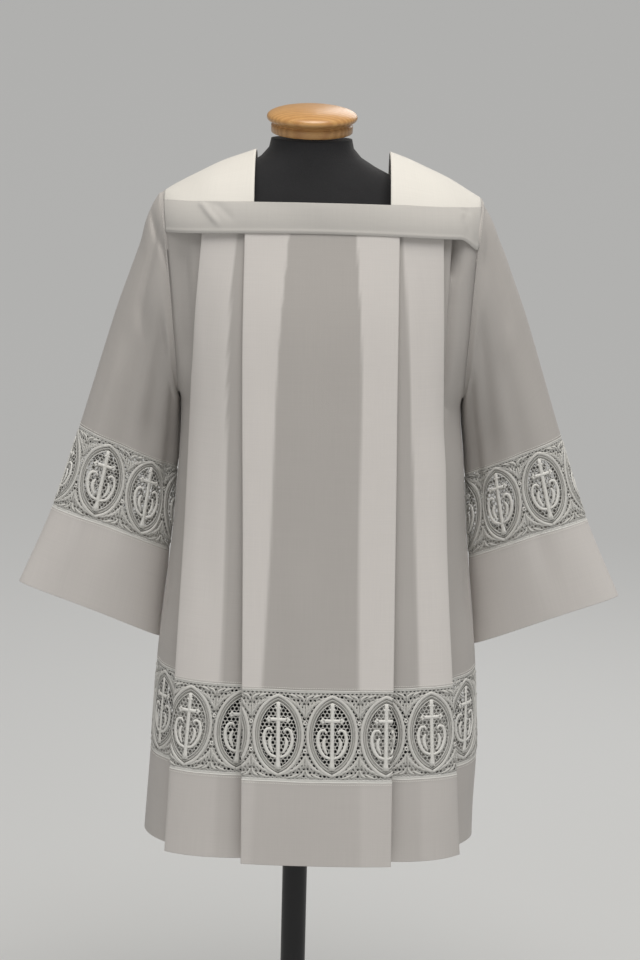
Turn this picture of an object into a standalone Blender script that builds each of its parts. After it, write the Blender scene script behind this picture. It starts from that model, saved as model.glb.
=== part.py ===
"""A pleated surplice with lace insertions, hanging on a limbless dress form and its stand.

Metres, +Z up. The front faces -Y and the wearer's left is +X. The origin is on the floor, under
the middle of the stand. Cloth is worked out on its middle surface first, as a grid of points, and
a Solidify modifier then gives it its thickness.
"""

import math
from collections import namedtuple

import bmesh
import bpy
import numpy as np

# ---------------------------------------------------------------------------- driving sizes
CLOTH = 0.0012  # thickness of every cloth wall
YOKE_CLOTH = 0.0016  # the yoke is cut double
SEAM_GAP = 0.0003  # between two pieces that are sewn together

YOKE_SEAM = 1.386  # height where the pleats are sewn to the yoke bands
BAND = 0.040  # height of the yoke bands
UNDERARM = 1.150
LACE_TOP = 0.771
LACE = 0.129  # height of the lace insertion round the hem
HEM = 0.525

NECK_HALF = 0.0905  # half the width of the square neckline
BAND_HALF = 0.2085  # half the length of a yoke band, at its lower edge
SHOULDER_HALF = 0.2150  # half the width between the sleeve seams, at the top
RIDGE_AT_NECK = 1.4865
RIDGE_AT_SLEEVE = 1.4340
RIDGE_BOW = 0.004  # the shoulder line rises this far above a straight one, half-way along
OUTLINE_POWER = 3.0  # above 2, so that the front and back hang flatter than an ellipse

DROOP = 0.008  # how much lower the yoke sits at the sleeve seams than in the middle
DROOP_ENDS = 1.250  # below this height nothing droops
SIDE_SHIFT = 0.0175  # the garment sits this far to the wearer's left of the form's middle
LEAN = 0.014  # and moves further the same way for each metre below the yoke

# The outline of the garment without its pleats, for each height: a quarter of a superellipse on
# each side, so a row holds how far the cloth is from the middle, to each hand, in front and behind.
BodyRing = namedtuple("BodyRing", "height right left front back")
BODY_RINGS = (
    BodyRing(1.386, 0.224, 0.224, 0.127, 0.112),
    BodyRing(1.270, 0.208, 0.208, 0.140, 0.124),
    BodyRing(1.150, 0.193, 0.193, 0.146, 0.130),
    BodyRing(1.000, 0.200, 0.197, 0.150, 0.136),
    BodyRing(0.771, 0.226, 0.216, 0.158, 0.148),
    BodyRing(0.642, 0.235, 0.221, 0.163, 0.156),
    BodyRing(0.525, 0.244, 0.220, 0.167, 0.162),
)

# The folds of half a panel, from its middle to its side. "across" is how far a fold is from the
# middle and "depth" how far behind the outline the cloth is when it gets there. Each fold turns
# the cloth back on itself, 2 radii deeper: outwards folds are creases, inwards ones lie behind.
# Each of a fold's four values holds at one of the FOLD_HEIGHTS.
Fold = namedtuple("Fold", "across depth radius")
FOLD_HEIGHTS = (1.386, 1.250, 0.9555, 0.525)
CREASE = (0.0013, 0.0013, 0.0013, 0.0013)
BEHIND = (0.0013, 0.0019, 0.0032, 0.0048)
ON_TOP = (0.0, 0.0, 0.0, 0.0)
FOLDS = {
    "front_right": (
        Fold((0.1025, 0.1045, 0.1025, 0.1025), ON_TOP, CREASE),
        Fold((0.0435, 0.0550, 0.0660, 0.0900), (0.0026, 0.0046, 0.0090, 0.0170), BEHIND),
        Fold((0.1620, 0.1750, 0.1900, 0.2120), (0.0052, 0.0051, 0.0050, 0.0030), CREASE),
        Fold((0.1150, 0.1250, 0.1300, 0.1445), (0.0078, 0.0096, 0.0135, 0.0220), BEHIND),
    ),
    "front_left": (
        Fold((0.1025, 0.1025, 0.1025, 0.1025), ON_TOP, CREASE),
        Fold((0.0455, 0.0535, 0.0535, 0.0610), (0.0026, 0.0045, 0.0085, 0.0185), BEHIND),
        Fold((0.1640, 0.1680, 0.1760, 0.2030), (0.0052, 0.0053, 0.0055, 0.0040), CREASE),
        Fold((0.1080, 0.1180, 0.1340, 0.1510), (0.0078, 0.0094, 0.0130, 0.0200), BEHIND),
    ),
    "back": (
        Fold((0.1025, 0.1025, 0.1025, 0.1025), ON_TOP, CREASE),
        Fold((0.0445, 0.0495, 0.0600, 0.0760), (0.0026, 0.0045, 0.0085, 0.0180), BEHIND),
        Fold((0.1630, 0.1685, 0.1800, 0.2060), (0.0052, 0.0052, 0.0052, 0.0036), CREASE),
        Fold((0.1160, 0.1215, 0.1340, 0.1580), (0.0078, 0.0094, 0.0130, 0.0205), BEHIND),
    ),
}
RUN_STEPS = (3, 1, 3, 1, 6)  # cloth strips between the folds of half a panel
TURN_STEPS = 3  # strips round one fold

# Sleeve sections below the armhole: the outer and inner ends of each, half its depth, and the
# power of its superellipse. Below 2 its ends are pinched, as where a cuff hangs flat.
SleeveRing = namedtuple("SleeveRing", "out_x out_y out_z in_x in_y in_z half_depth power")
SLEEVE_RINGS = (
    SleeveRing(0.2355, 0.000, 1.4010, 0.1985, 0.010, 1.142, 0.0780, 2.2),
    SleeveRing(0.2625, 0.000, 1.3230, 0.2005, 0.016, 1.122, 0.0710, 2.2),
    SleeveRing(0.2920, -0.002, 1.2300, 0.2030, 0.022, 1.092, 0.0630, 2.1),
    SleeveRing(0.3320, -0.004, 1.1010, 0.2070, 0.028, 1.040, 0.0550, 2.0),
    SleeveRing(0.3715, -0.006, 0.9840, 0.2150, 0.032, 0.918, 0.0500, 1.9),
    SleeveRing(0.4180, -0.008, 0.8780, 0.2300, 0.034, 0.794, 0.0440, 1.75),
)
SLEEVE_LACE_RINGS = (4, 5)  # the lace lies between these rings, counted with the armhole as 0
SLEEVE_STRIPS = 28  # round a sleeve
SEAM_CLEAR = 0.0014  # the sleeve starts this far out from the yoke
UNDERARM_CLEAR = 0.0020  # and further out by this much at the underarm
FRONT_LIFT = 0.012  # how much higher the front of a cuff hangs than the back

# The dress form: half its width, and its front and back, for each height.
FormRing = namedtuple("FormRing", "height half_width front back power")
FORM_RINGS = (
    FormRing(0.620, 0.150, 0.094, 0.094, 2.3),
    FormRing(0.626, 0.160, 0.103, 0.103, 2.3),
    FormRing(0.640, 0.163, 0.106, 0.106, 2.3),
    FormRing(0.780, 0.164, 0.110, 0.112, 2.3),
    FormRing(0.900, 0.160, 0.107, 0.110, 2.3),
    FormRing(1.040, 0.142, 0.096, 0.088, 2.3),
    FormRing(1.160, 0.152, 0.108, 0.092, 2.4),
    FormRing(1.260, 0.163, 0.115, 0.098, 2.5),
    FormRing(1.340, 0.172, 0.109, 0.094, 2.5),
    FormRing(1.385, 0.174, 0.097, 0.087, 2.4),
    FormRing(1.415, 0.166, 0.082, 0.078, 2.3),
    FormRing(1.436, 0.142, 0.071, 0.069, 2.2),
    FormRing(1.455, 0.108, 0.064, 0.062, 2.1),
    FormRing(1.470, 0.079, 0.060, 0.058, 2.0),
    FormRing(1.484, 0.061, 0.057, 0.055, 2.0),
    FormRing(1.502, 0.055, 0.054, 0.054, 2.0),
)
FORM_STRIPS = 40

# The turned neck cap: radius and height above its own foot.
CapRing = namedtuple("CapRing", "radius height")
CAP_RINGS = (
    CapRing(0.0540, 0.0000),
    CapRing(0.0555, 0.0012),
    CapRing(0.0555, 0.0105),
    CapRing(0.0538, 0.0125),
    CapRing(0.0545, 0.0142),
    CapRing(0.0590, 0.0165),
    CapRing(0.0615, 0.0200),
    CapRing(0.0612, 0.0232),
    CapRing(0.0575, 0.0270),
    CapRing(0.0440, 0.0318),
    CapRing(0.0230, 0.0348),
)
CAP_CROWN = 0.0356
CAP_TILT = math.radians(7)  # the neck leans forwards
CAP_FOOT = 1.5040
CAP_FORWARD = 0.002
TURNED_STEPS = 40

POLE_RADIUS = 0.0175
FLANGE_RADIUS = 0.042
FLANGE_HEIGHT = 0.030
BASE_RADIUS = 0.200
BASE_HEIGHT = 0.008


# ---------------------------------------------------------------------------- small helpers
def glide(x, xs, ys):
    """Smooth interpolation through the points (xs, ys), with xs rising. Flat past the ends."""
    xs, ys = np.asarray(xs, float), np.asarray(ys, float)
    slopes = np.gradient(ys, xs)
    x = np.clip(x, xs[0], xs[-1])
    i = np.clip(np.searchsorted(xs, x) - 1, 0, len(xs) - 2)
    step = xs[i + 1] - xs[i]
    s = (x - xs[i]) / step
    low = (1 + 2 * s) * (1 - s) ** 2 * ys[i] + s * (1 - s) ** 2 * step * slopes[i]
    high = s * s * (3 - 2 * s) * ys[i + 1] + s * s * (s - 1) * step * slopes[i + 1]
    return low + high


def ease(s):
    """0 to 1 with no kink at either end."""
    s = np.clip(s, 0.0, 1.0)
    return s * s * (3 - 2 * s)


def along_of(points):
    """The distance along a line of points, from its first one."""
    return np.concatenate([[0.0], np.cumsum(np.linalg.norm(np.diff(points, axis=0), axis=1))])


def spaced(points, count):
    """The line again, as count points evenly far apart."""
    along = along_of(points)
    wanted = np.linspace(0, along[-1], count)
    return np.stack([np.interp(wanted, along, column) for column in points.T], axis=1)


def ring_value(height, column):
    """A column of BODY_RINGS at any height."""
    rings = BODY_RINGS[::-1]
    return float(glide(height, [r.height for r in rings], [getattr(r, column) for r in rings]))


# ---------------------------------------------------------------------------- the body's shape
def quarter_outline(height, facing, hand):
    """The outline from the middle of the front (facing -1) or back (+1) to a side, in plan.

    hand is 1 on the wearer's left and -1 on the right, but x is counted from the middle on both.
    """
    half_width = ring_value(height, "left" if hand > 0 else "right")
    deep = ring_value(height, "front" if facing < 0 else "back")
    angle = np.linspace(0, math.pi / 2, 121)
    x = half_width * np.sin(angle) ** (2 / OUTLINE_POWER)
    y = facing * deep * np.cos(angle) ** (2 / OUTLINE_POWER)
    return np.stack([x, y], axis=1)


def armhole_depth(height, facing):
    """How far in front of the side seam, or behind it, the armhole's edge is at a height."""
    at_yoke = abs(yoke_foot(BAND_HALF, facing))
    down = (YOKE_SEAM - height) / (YOKE_SEAM - UNDERARM)
    return at_yoke * max(0.0, 1 - max(0.0, down) ** 2.6) ** (1 / 2.6)


def fold_value(values, height):
    """One number of a fold at any height."""
    return float(glide(height, FOLD_HEIGHTS[::-1], values[::-1]))


def pleat_line(folds, height, to_along, end):
    """Half a panel's zigzag: points (distance along the outline, depth behind it)."""
    points = [np.array([[0.0, 0.0]])]
    start, way = np.array([0.0, 0.0]), 1
    for fold, steps in zip(folds, RUN_STEPS):
        radius = fold_value(fold.radius, height)
        stop = np.array(
            [to_along(fold_value(fold.across, height)) - way * radius, fold_value(fold.depth, height)]
        )
        points.append(start + np.linspace(0, 1, steps + 1)[1:, None] * (stop - start))
        turn = np.linspace(0, math.pi, TURN_STEPS + 1)[1:]
        bulge = np.stack([way * np.sin(turn), 1 - np.cos(turn)], axis=1)
        points.append(stop + radius * bulge)
        start, way = points[-1][-1], -way
    # The last run stays under the outer crease and then comes forward to the side.
    crease = to_along(fold_value(folds[2].across, height))
    along = np.linspace(start[0], end, RUN_STEPS[-1] + 1)[1:]
    depth = start[1] * (1 - ease((along - crease) / max(end - crease, 1e-6)))
    points.append(np.stack([along, depth], axis=1))
    return np.concatenate(points)


def half_panel_row(height, facing, hand):
    """Points of half a panel at one height, from the middle to the side seam or armhole."""
    folds = FOLDS["back" if facing > 0 else "front_left" if hand > 0 else "front_right"]
    outline = quarter_outline(height, facing, hand)
    along = along_of(outline)
    tangent = np.gradient(outline, axis=0)
    tangent /= np.linalg.norm(tangent, axis=1)[:, None]
    inward = -facing * np.stack([tangent[:, 1] * -1, tangent[:, 0]], axis=1)
    end = along[-1]
    if height > UNDERARM:
        end = np.interp(-armhole_depth(height, facing), -np.abs(outline[:, 1]), along)
    end = min(end, along[-1] - SEAM_GAP / 2)
    line = pleat_line(folds, height, lambda x: np.interp(x, outline[:, 0], along), end)

    def at(column, source):
        return np.interp(line[:, 0], along, source[:, column])

    base = np.stack([at(0, outline), at(1, outline)], axis=1)
    into = np.stack([at(0, inward), at(1, inward)], axis=1)
    plan = base + into * line[:, 1:]
    return np.column_stack([plan, np.full(len(plan), height)]) * [hand, 1, 1]


def panel_grid(heights, facing):
    """The rows of a whole front or back panel, lowest first, from one side to the other."""
    rows = []
    for height in heights:
        right, left = (half_panel_row(height, facing, hand) for hand in (-1, 1))
        row = np.concatenate([right[::-1], left[1:]])
        rows.append(row if facing < 0 else row[::-1])
    return np.array(rows)


# ---------------------------------------------------------------------------- the yoke's shape
def yoke_foot(x, facing):
    """Where the outline at the yoke seam is, front or back, for a distance from the middle."""
    half_width = ring_value(YOKE_SEAM, "left")
    deep = ring_value(YOKE_SEAM, "front" if facing < 0 else "back")
    share = np.clip(np.abs(x) / half_width, 0, 1)
    return facing * deep * (1 - share**OUTLINE_POWER) ** (1 / OUTLINE_POWER)


def ridge(x):
    """Height of the shoulder line for a distance from the middle."""
    slope = (RIDGE_AT_SLEEVE - RIDGE_AT_NECK) / (SHOULDER_HALF - NECK_HALF)
    share = np.clip((np.abs(x) - NECK_HALF) / (SHOULDER_HALF - NECK_HALF), 0, 1)
    bow = RIDGE_BOW * np.sin(math.pi * share)
    return RIDGE_AT_NECK + slope * (np.abs(x) - NECK_HALF) + bow


def yoke_point(x, height, facing):
    """A point of the yoke: it rises from the seam and curves over the shoulder line."""
    rise = np.clip((height - YOKE_SEAM) / (ridge(x) - YOKE_SEAM), 0, 1)
    return np.stack([x, yoke_foot(x, facing) * np.sqrt(1 - rise**2), height + 0 * x], axis=-1)


def yoke_end(height):
    """How far from the middle the yoke ends, at a height."""
    rise = (height - YOKE_SEAM) / (RIDGE_AT_SLEEVE - YOKE_SEAM)
    return BAND_HALF + (SHOULDER_HALF - BAND_HALF) * np.clip(rise, 0, 1)


def band_grid(facing):
    """The rows of a yoke band, lowest first."""
    rows = []
    for height in np.linspace(YOKE_SEAM + SEAM_GAP, YOKE_SEAM + BAND - SEAM_GAP / 2, 4):
        end = yoke_end(height)
        rows.append(yoke_point(np.linspace(-end, end, 25)[::-facing], height, facing))
    return np.array(rows)


def strap_grid(hand):
    """The rows of a shoulder strap, from the front band over the shoulder to the back band."""
    across = np.linspace(0, 1, 8)
    rows = []
    for facing, shares in ((-1, np.linspace(0, 1, 8)), (1, np.linspace(1, 0, 8)[1:])):
        for share in shares:
            end = BAND_HALF + (SHOULDER_HALF - BAND_HALF) * (0.85 + 0.15 * share)
            x = NECK_HALF + (end - NECK_HALF) * across
            foot = YOKE_SEAM + BAND + SEAM_GAP / 2
            lowest = np.arcsin((foot - YOKE_SEAM) / (ridge(x) - YOKE_SEAM))
            rise = np.sin(lowest + (math.pi / 2 - lowest) * share)
            height = YOKE_SEAM + (ridge(x) - YOKE_SEAM) * rise
            rows.append(yoke_point(x, height, facing) * [hand, 1, 1])
    grid = np.array(rows)
    return grid if hand > 0 else grid[:, ::-1]


# ---------------------------------------------------------------------------- the sleeves' shape
def armhole_half(facing):
    """The armhole from the shoulder point down to the underarm, front or back."""
    end = SHOULDER_HALF
    top = np.linspace(math.pi / 2, 0, 13)[:-1]
    heights = YOKE_SEAM + (RIDGE_AT_SLEEVE - YOKE_SEAM) * np.sin(top)
    points = [yoke_point(np.array(yoke_end(z)), np.array(z), facing) for z in heights]
    points[0] = np.array([end, 0.0, RIDGE_AT_SLEEVE])
    for height in np.linspace(YOKE_SEAM, UNDERARM, 40):
        outline = quarter_outline(height, facing, 1)
        depth = armhole_depth(height, facing)
        x = np.interp(-depth, -np.abs(outline[:, 1]), outline[:, 0])
        points.append(np.array([x, facing * depth, height]))
    return np.array(points)


def ring_half(ring, facing):
    """Half of a sleeve section, from its outer end to its inner end."""
    outer = np.array([ring.out_x, ring.out_y, ring.out_z])
    inner = np.array([ring.in_x, ring.in_y, ring.in_z])
    angle = np.linspace(0, math.pi, 61)
    cosine, sine = np.cos(angle), np.sin(angle)
    cosine = np.sign(cosine) * np.abs(cosine) ** (2 / ring.power)
    sine = np.abs(sine) ** (2 / ring.power)
    middle, reach = (outer + inner) / 2, (outer - inner) / 2
    depth = np.array([0.0, facing * ring.half_depth, 0.0])
    return middle + cosine[:, None] * reach + sine[:, None] * depth


def whole_ring(half_of):
    """A closed section: down the front and up the back, its first point not repeated."""
    count = SLEEVE_STRIPS // 2 + 1
    front, back = spaced(half_of(-1), count), spaced(half_of(1), count)
    return np.concatenate([front, back[::-1][1:-1]])


def sleeve_sections():
    """Every section of the wearer's left sleeve, the armhole first."""
    armhole = whole_ring(armhole_half)
    down = (RIDGE_AT_SLEEVE - armhole[:, 2]) / (RIDGE_AT_SLEEVE - UNDERARM)
    armhole[:, 0] += SEAM_CLEAR + UNDERARM_CLEAR * ease(down)
    return np.array(
        [armhole] + [whole_ring(lambda f, ring=ring: ring_half(ring, f)) for ring in SLEEVE_RINGS]
    )


def sleeve_grid(first, last, rows, hand):
    """The sleeve between two of its sections, the lowest row first."""
    sections = sleeve_sections()
    at = np.arange(len(sections))
    made = []
    in_front = np.sin(np.clip(np.arange(SLEEVE_STRIPS) * 2 / SLEEVE_STRIPS, 0, 1) * math.pi)
    for place in np.linspace(last, first, rows):
        flat = sections.reshape(len(sections), -1)
        row = np.array([glide(place, at, column) for column in flat.T]).reshape(-1, 3)
        row[:, 2] += FRONT_LIFT * in_front * ease((place - 2.6) / 2.2)
        made.append(row)
    grid = np.array(made)
    grid = np.concatenate([grid, grid[:, :1]], axis=1)
    return grid * [hand, 1, 1] if hand > 0 else grid[:, ::-1] * [-1, 1, 1]


# ---------------------------------------------------------------------------- objects
def hung(points):
    """The garment's own points moved to where they hang on the form."""
    points = np.array(points, float)
    x, z = points[..., 0].copy(), points[..., 2].copy()
    drooping = ease((z - DROOP_ENDS) / (YOKE_SEAM - DROOP_ENDS))
    points[..., 2] = z - DROOP * (x / BAND_HALF) ** 2 * drooping
    points[..., 0] = x + SIDE_SHIFT + LEAN * (YOKE_SEAM - z)
    return points


def material(name, colour, roughness, metallic=0.0):
    made = bpy.data.materials.new(name)
    made.use_nodes = True
    shader = made.node_tree.nodes["Principled BSDF"]
    shader.inputs["Base Color"].default_value = (*colour, 1.0)
    shader.inputs["Roughness"].default_value = roughness
    shader.inputs["Metallic"].default_value = metallic
    return made


def add_object(name, mesh_maker, finish):
    """An object whose mesh is filled by mesh_maker, which gets an empty bmesh."""
    bm = bmesh.new()
    mesh_maker(bm)
    mesh = bpy.data.meshes.new(name)
    bm.to_mesh(mesh)
    bm.free()
    mesh.shade_smooth()
    mesh.set_sharp_from_angle(angle=math.radians(35))
    mesh.materials.append(finish)
    made = bpy.data.objects.new(name, mesh)
    bpy.context.scene.collection.objects.link(made)
    return made


def cloth(name, grid, finish, thickness=CLOTH, tube=False):
    """A cloth wall with this grid of points as its middle surface."""
    points = hung(grid)
    rows, columns = points.shape[:2]

    def fill(bm):
        made = bmesh.ops.create_grid(bm, x_segments=columns - 1, y_segments=rows - 1, size=1.0)
        for vertex, point in zip(made["verts"], points.reshape(-1, 3)):
            vertex.co = point
        if tube:
            bmesh.ops.remove_doubles(bm, verts=bm.verts, dist=1e-5)

    made = add_object(name, fill, finish)
    wall = made.modifiers.new("thickness", "SOLIDIFY")
    wall.thickness = thickness
    wall.offset = 0.0
    wall.use_even_offset = True
    return made


def turned(name, profile, finish, crown=None):
    """A solid of revolution from (radius, height) rows, foot first, with flat or domed ends."""

    def fill(bm):
        for radius, height in profile:
            ring = bmesh.ops.create_circle(bm, segments=TURNED_STEPS, radius=radius)["verts"]
            bmesh.ops.translate(bm, verts=ring, vec=(0, 0, height))
        skin_rings(bm, TURNED_STEPS, crown)

    return add_object(name, fill, finish)


def skin_rings(bm, steps, crown=None):
    """Faces between rings of vertices made in order, closed at the foot and at the top."""
    bm.verts.ensure_lookup_table()
    rings = [bm.verts[i : i + steps] for i in range(0, len(bm.verts), steps)]
    for ring in rings:
        for i, vertex in enumerate(ring):
            if bm.edges.get((vertex, ring[i - 1])) is None:
                bm.edges.new((vertex, ring[i - 1]))
    for low, high in zip(rings, rings[1:]):
        edges = [bm.edges.get((r[i], r[i - 1])) for r in (low, high) for i in range(steps)]
        bmesh.ops.bridge_loops(bm, edges=edges)
    bm.faces.new(rings[0])
    top = bm.faces.new(rings[-1])
    if crown is not None:
        middle = bmesh.ops.poke(bm, faces=[top])["verts"]
        middle[0].co.z = crown
    bmesh.ops.recalc_face_normals(bm, faces=bm.faces)


def form_body(name, finish):
    """The trunk and neck of the dress form: bridged horizontal sections."""

    def fill(bm):
        for ring in FORM_RINGS:
            made = bmesh.ops.create_circle(bm, segments=FORM_STRIPS, radius=1.0)["verts"]
            for vertex in made:
                deep = ring.front if vertex.co.y < 0 else ring.back
                x, y = vertex.co.x, vertex.co.y
                power = 2 / ring.power
                vertex.co.x = math.copysign(abs(x) ** power * ring.half_width, x)
                vertex.co.y = math.copysign(abs(y) ** power * deep, y)
                vertex.co.z = ring.height
        skin_rings(bm, FORM_STRIPS)

    return add_object(name, fill, finish)


def add_garment(linen, lace):
    lace_foot = LACE_TOP - LACE
    above = [LACE_TOP + SEAM_GAP / 2, 0.90, 1.03, UNDERARM, 1.156, 1.172, 1.20, 1.25, 1.32]
    for side, facing in (("front", -1), ("back", 1)):
        cloth(f"{side}_panel", panel_grid([*above, YOKE_SEAM - SEAM_GAP / 2], facing), linen)
        lace_rows = np.linspace(lace_foot + SEAM_GAP / 2, LACE_TOP - SEAM_GAP / 2, 3)
        cloth(f"{side}_hem_lace", panel_grid(lace_rows, facing), lace)
        hem_rows = np.linspace(HEM, lace_foot - SEAM_GAP / 2, 3)
        cloth(f"{side}_hem_band", panel_grid(hem_rows, facing), linen)
        cloth(f"{side}_yoke_band", band_grid(facing), linen, YOKE_CLOTH)
    low, high = SLEEVE_LACE_RINGS
    near = 0.0026  # a seam gap, as a share of the distance between two sleeve rings
    for side, hand in (("left", 1), ("right", -1)):
        cloth(f"{side}_strap", strap_grid(hand), linen, YOKE_CLOTH)
        cloth(f"{side}_sleeve", sleeve_grid(0, low - near, 9, hand), linen, tube=True)
        cloth(f"{side}_sleeve_lace", sleeve_grid(low, high - near, 3, hand), lace, tube=True)
        cloth(f"{side}_cuff", sleeve_grid(high, len(SLEEVE_RINGS), 3, hand), linen, tube=True)


def add_dress_form(jersey, wood, steel):
    form_body("form_body", jersey)
    cap = turned("neck_cap", CAP_RINGS, wood, CAP_CROWN)
    cap.rotation_euler.x = CAP_TILT
    cap.location = (0.0, -CAP_FORWARD, CAP_FOOT + CAP_RINGS[0].radius * math.sin(CAP_TILT))
    turned(
        "stand_base",
        [
            (BASE_RADIUS - 0.002, 0.0),
            (BASE_RADIUS, 0.002),
            (BASE_RADIUS, BASE_HEIGHT - 0.003),
            (BASE_RADIUS - 0.003, BASE_HEIGHT),
        ],
        steel,
    )
    flange_foot = BASE_HEIGHT + SEAM_GAP
    turned(
        "stand_flange",
        [
            (FLANGE_RADIUS, flange_foot),
            (FLANGE_RADIUS, flange_foot + 0.006),
            (POLE_RADIUS + 0.008, flange_foot + 0.012),
            (POLE_RADIUS + 0.006, flange_foot + FLANGE_HEIGHT),
        ],
        steel,
    )
    pole_foot = flange_foot + FLANGE_HEIGHT + SEAM_GAP
    pole_top = FORM_RINGS[0].height - SEAM_GAP
    turned("stand_pole", [(POLE_RADIUS, pole_foot), (POLE_RADIUS, pole_top)], steel)


def main():
    for old in list(bpy.data.objects):
        bpy.data.objects.remove(old)
    linen = material("white_cloth", (0.86, 0.85, 0.82), 0.85)
    lace = material("white_lace", (0.84, 0.83, 0.79), 0.80)
    jersey = material("black_jersey", (0.02, 0.02, 0.022), 0.90)
    wood = material("turned_wood", (0.62, 0.37, 0.16), 0.35)
    steel = material("black_steel", (0.03, 0.03, 0.03), 0.45, 0.8)
    add_garment(linen, lace)
    add_dress_form(jersey, wood, steel)


main()
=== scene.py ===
# %% [markdown]
# # A surplice with lace insertions, on a dress form
#
# A surplice is a wide white vestment. This one has a square yoke, box-pleated front and back
# panels, straight set-in sleeves, and a band of lace let in above each hem. It hangs on a limbless
# form with a turned wooden neck cap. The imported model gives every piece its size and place. This
# lesson dresses it: each piece of cloth is laid out flat, and then moved onto the shape that it
# hangs in.

import math
from collections import namedtuple

import bmesh
import bpy
import numpy as np
from mathutils import Matrix, Vector


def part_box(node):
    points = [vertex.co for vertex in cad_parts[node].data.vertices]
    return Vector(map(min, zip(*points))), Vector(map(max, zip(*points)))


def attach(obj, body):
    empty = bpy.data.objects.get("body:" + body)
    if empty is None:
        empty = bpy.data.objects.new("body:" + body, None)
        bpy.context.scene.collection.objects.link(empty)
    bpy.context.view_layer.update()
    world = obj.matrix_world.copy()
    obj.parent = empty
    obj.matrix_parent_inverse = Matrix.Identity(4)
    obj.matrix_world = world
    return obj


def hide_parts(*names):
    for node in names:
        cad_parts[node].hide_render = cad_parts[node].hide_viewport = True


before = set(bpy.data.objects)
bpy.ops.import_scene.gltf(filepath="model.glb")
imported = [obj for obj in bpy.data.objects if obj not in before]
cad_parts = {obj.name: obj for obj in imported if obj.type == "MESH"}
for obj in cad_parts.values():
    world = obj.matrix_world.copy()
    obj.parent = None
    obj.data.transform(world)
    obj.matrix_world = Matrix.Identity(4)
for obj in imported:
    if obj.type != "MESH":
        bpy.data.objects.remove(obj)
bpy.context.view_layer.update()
MM = 0.001

# %% [markdown]
# ## The garment's sizes
#
# These are the cutter's and the hanger's numbers, the same as the model's. The garment faces -Y,
# and the wearer's left is +X. A ring of the body is a superellipse, which is an ellipse with a
# power above 2, because the front and the back hang flatter than an ellipse.

# %% Sizes of the body and its pleats
panel_low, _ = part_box("front_panel")
band_low, band_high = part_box("front_hem_band")
lace_low, lace_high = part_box("front_hem_lace")
HEM = band_low.z
LACE_FOOT = (band_high.z + lace_low.z) / 2
LACE_TOP = (panel_low.z + lace_high.z) / 2
YOKE_SEAM = 1.386
UNDERARM = 1.150
BAND = 0.040
NECK_HALF = 0.0905
BAND_HALF = 0.2085
SHOULDER_HALF = 0.2150
RIDGE_AT_NECK = 1.4865
RIDGE_AT_SLEEVE = 1.4340
RIDGE_BOW = 0.004
OUTLINE_POWER = 3.0
SIDE_SHIFT = 0.0175
LEAN = 0.014
DROOP = 0.008
DROOP_ENDS = 1.250
print(f"the lace runs from {LACE_FOOT:.4f} to {LACE_TOP:.4f} m, the hem is at {HEM:.4f} m")

BodyRing = namedtuple("BodyRing", "height right left front back")
BODY_RINGS = (
    BodyRing(1.386, 0.224, 0.224, 0.127, 0.112),
    BodyRing(1.270, 0.208, 0.208, 0.140, 0.124),
    BodyRing(1.150, 0.193, 0.193, 0.146, 0.130),
    BodyRing(1.000, 0.200, 0.197, 0.150, 0.136),
    BodyRing(0.771, 0.226, 0.216, 0.158, 0.148),
    BodyRing(0.642, 0.235, 0.221, 0.163, 0.156),
    BodyRing(0.525, 0.244, 0.220, 0.167, 0.162),
)
# A fold's distance from the middle, and how deep behind the outline the cloth is there. Each of
# a fold's four values holds at one of the FOLD_HEIGHTS.
Fold = namedtuple("Fold", "across depth radius")
FOLD_HEIGHTS = (1.386, 1.250, 0.9555, 0.525)
CREASE = (0.0013, 0.0013, 0.0013, 0.0013)
BEHIND = (0.0013, 0.0019, 0.0032, 0.0048)
ON_TOP = (0.0, 0.0, 0.0, 0.0)
FOLDS = {
    "front_right": (
        Fold((0.1025, 0.1045, 0.1025, 0.1025), ON_TOP, CREASE),
        Fold((0.0435, 0.0550, 0.0660, 0.0900), (0.0026, 0.0046, 0.0090, 0.0170), BEHIND),
        Fold((0.1620, 0.1750, 0.1900, 0.2120), (0.0052, 0.0051, 0.0050, 0.0030), CREASE),
        Fold((0.1150, 0.1250, 0.1300, 0.1445), (0.0078, 0.0096, 0.0135, 0.0220), BEHIND),
    ),
    "front_left": (
        Fold((0.1025, 0.1025, 0.1025, 0.1025), ON_TOP, CREASE),
        Fold((0.0455, 0.0535, 0.0535, 0.0610), (0.0026, 0.0045, 0.0085, 0.0185), BEHIND),
        Fold((0.1640, 0.1680, 0.1760, 0.2030), (0.0052, 0.0053, 0.0055, 0.0040), CREASE),
        Fold((0.1080, 0.1180, 0.1340, 0.1510), (0.0078, 0.0094, 0.0130, 0.0200), BEHIND),
    ),
    "back": (
        Fold((0.1025, 0.1025, 0.1025, 0.1025), ON_TOP, CREASE),
        Fold((0.0445, 0.0495, 0.0600, 0.0760), (0.0026, 0.0045, 0.0085, 0.0180), BEHIND),
        Fold((0.1630, 0.1685, 0.1800, 0.2060), (0.0052, 0.0052, 0.0052, 0.0036), CREASE),
        Fold((0.1160, 0.1215, 0.1340, 0.1580), (0.0078, 0.0094, 0.0130, 0.0205), BEHIND),
    ),
}

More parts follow.
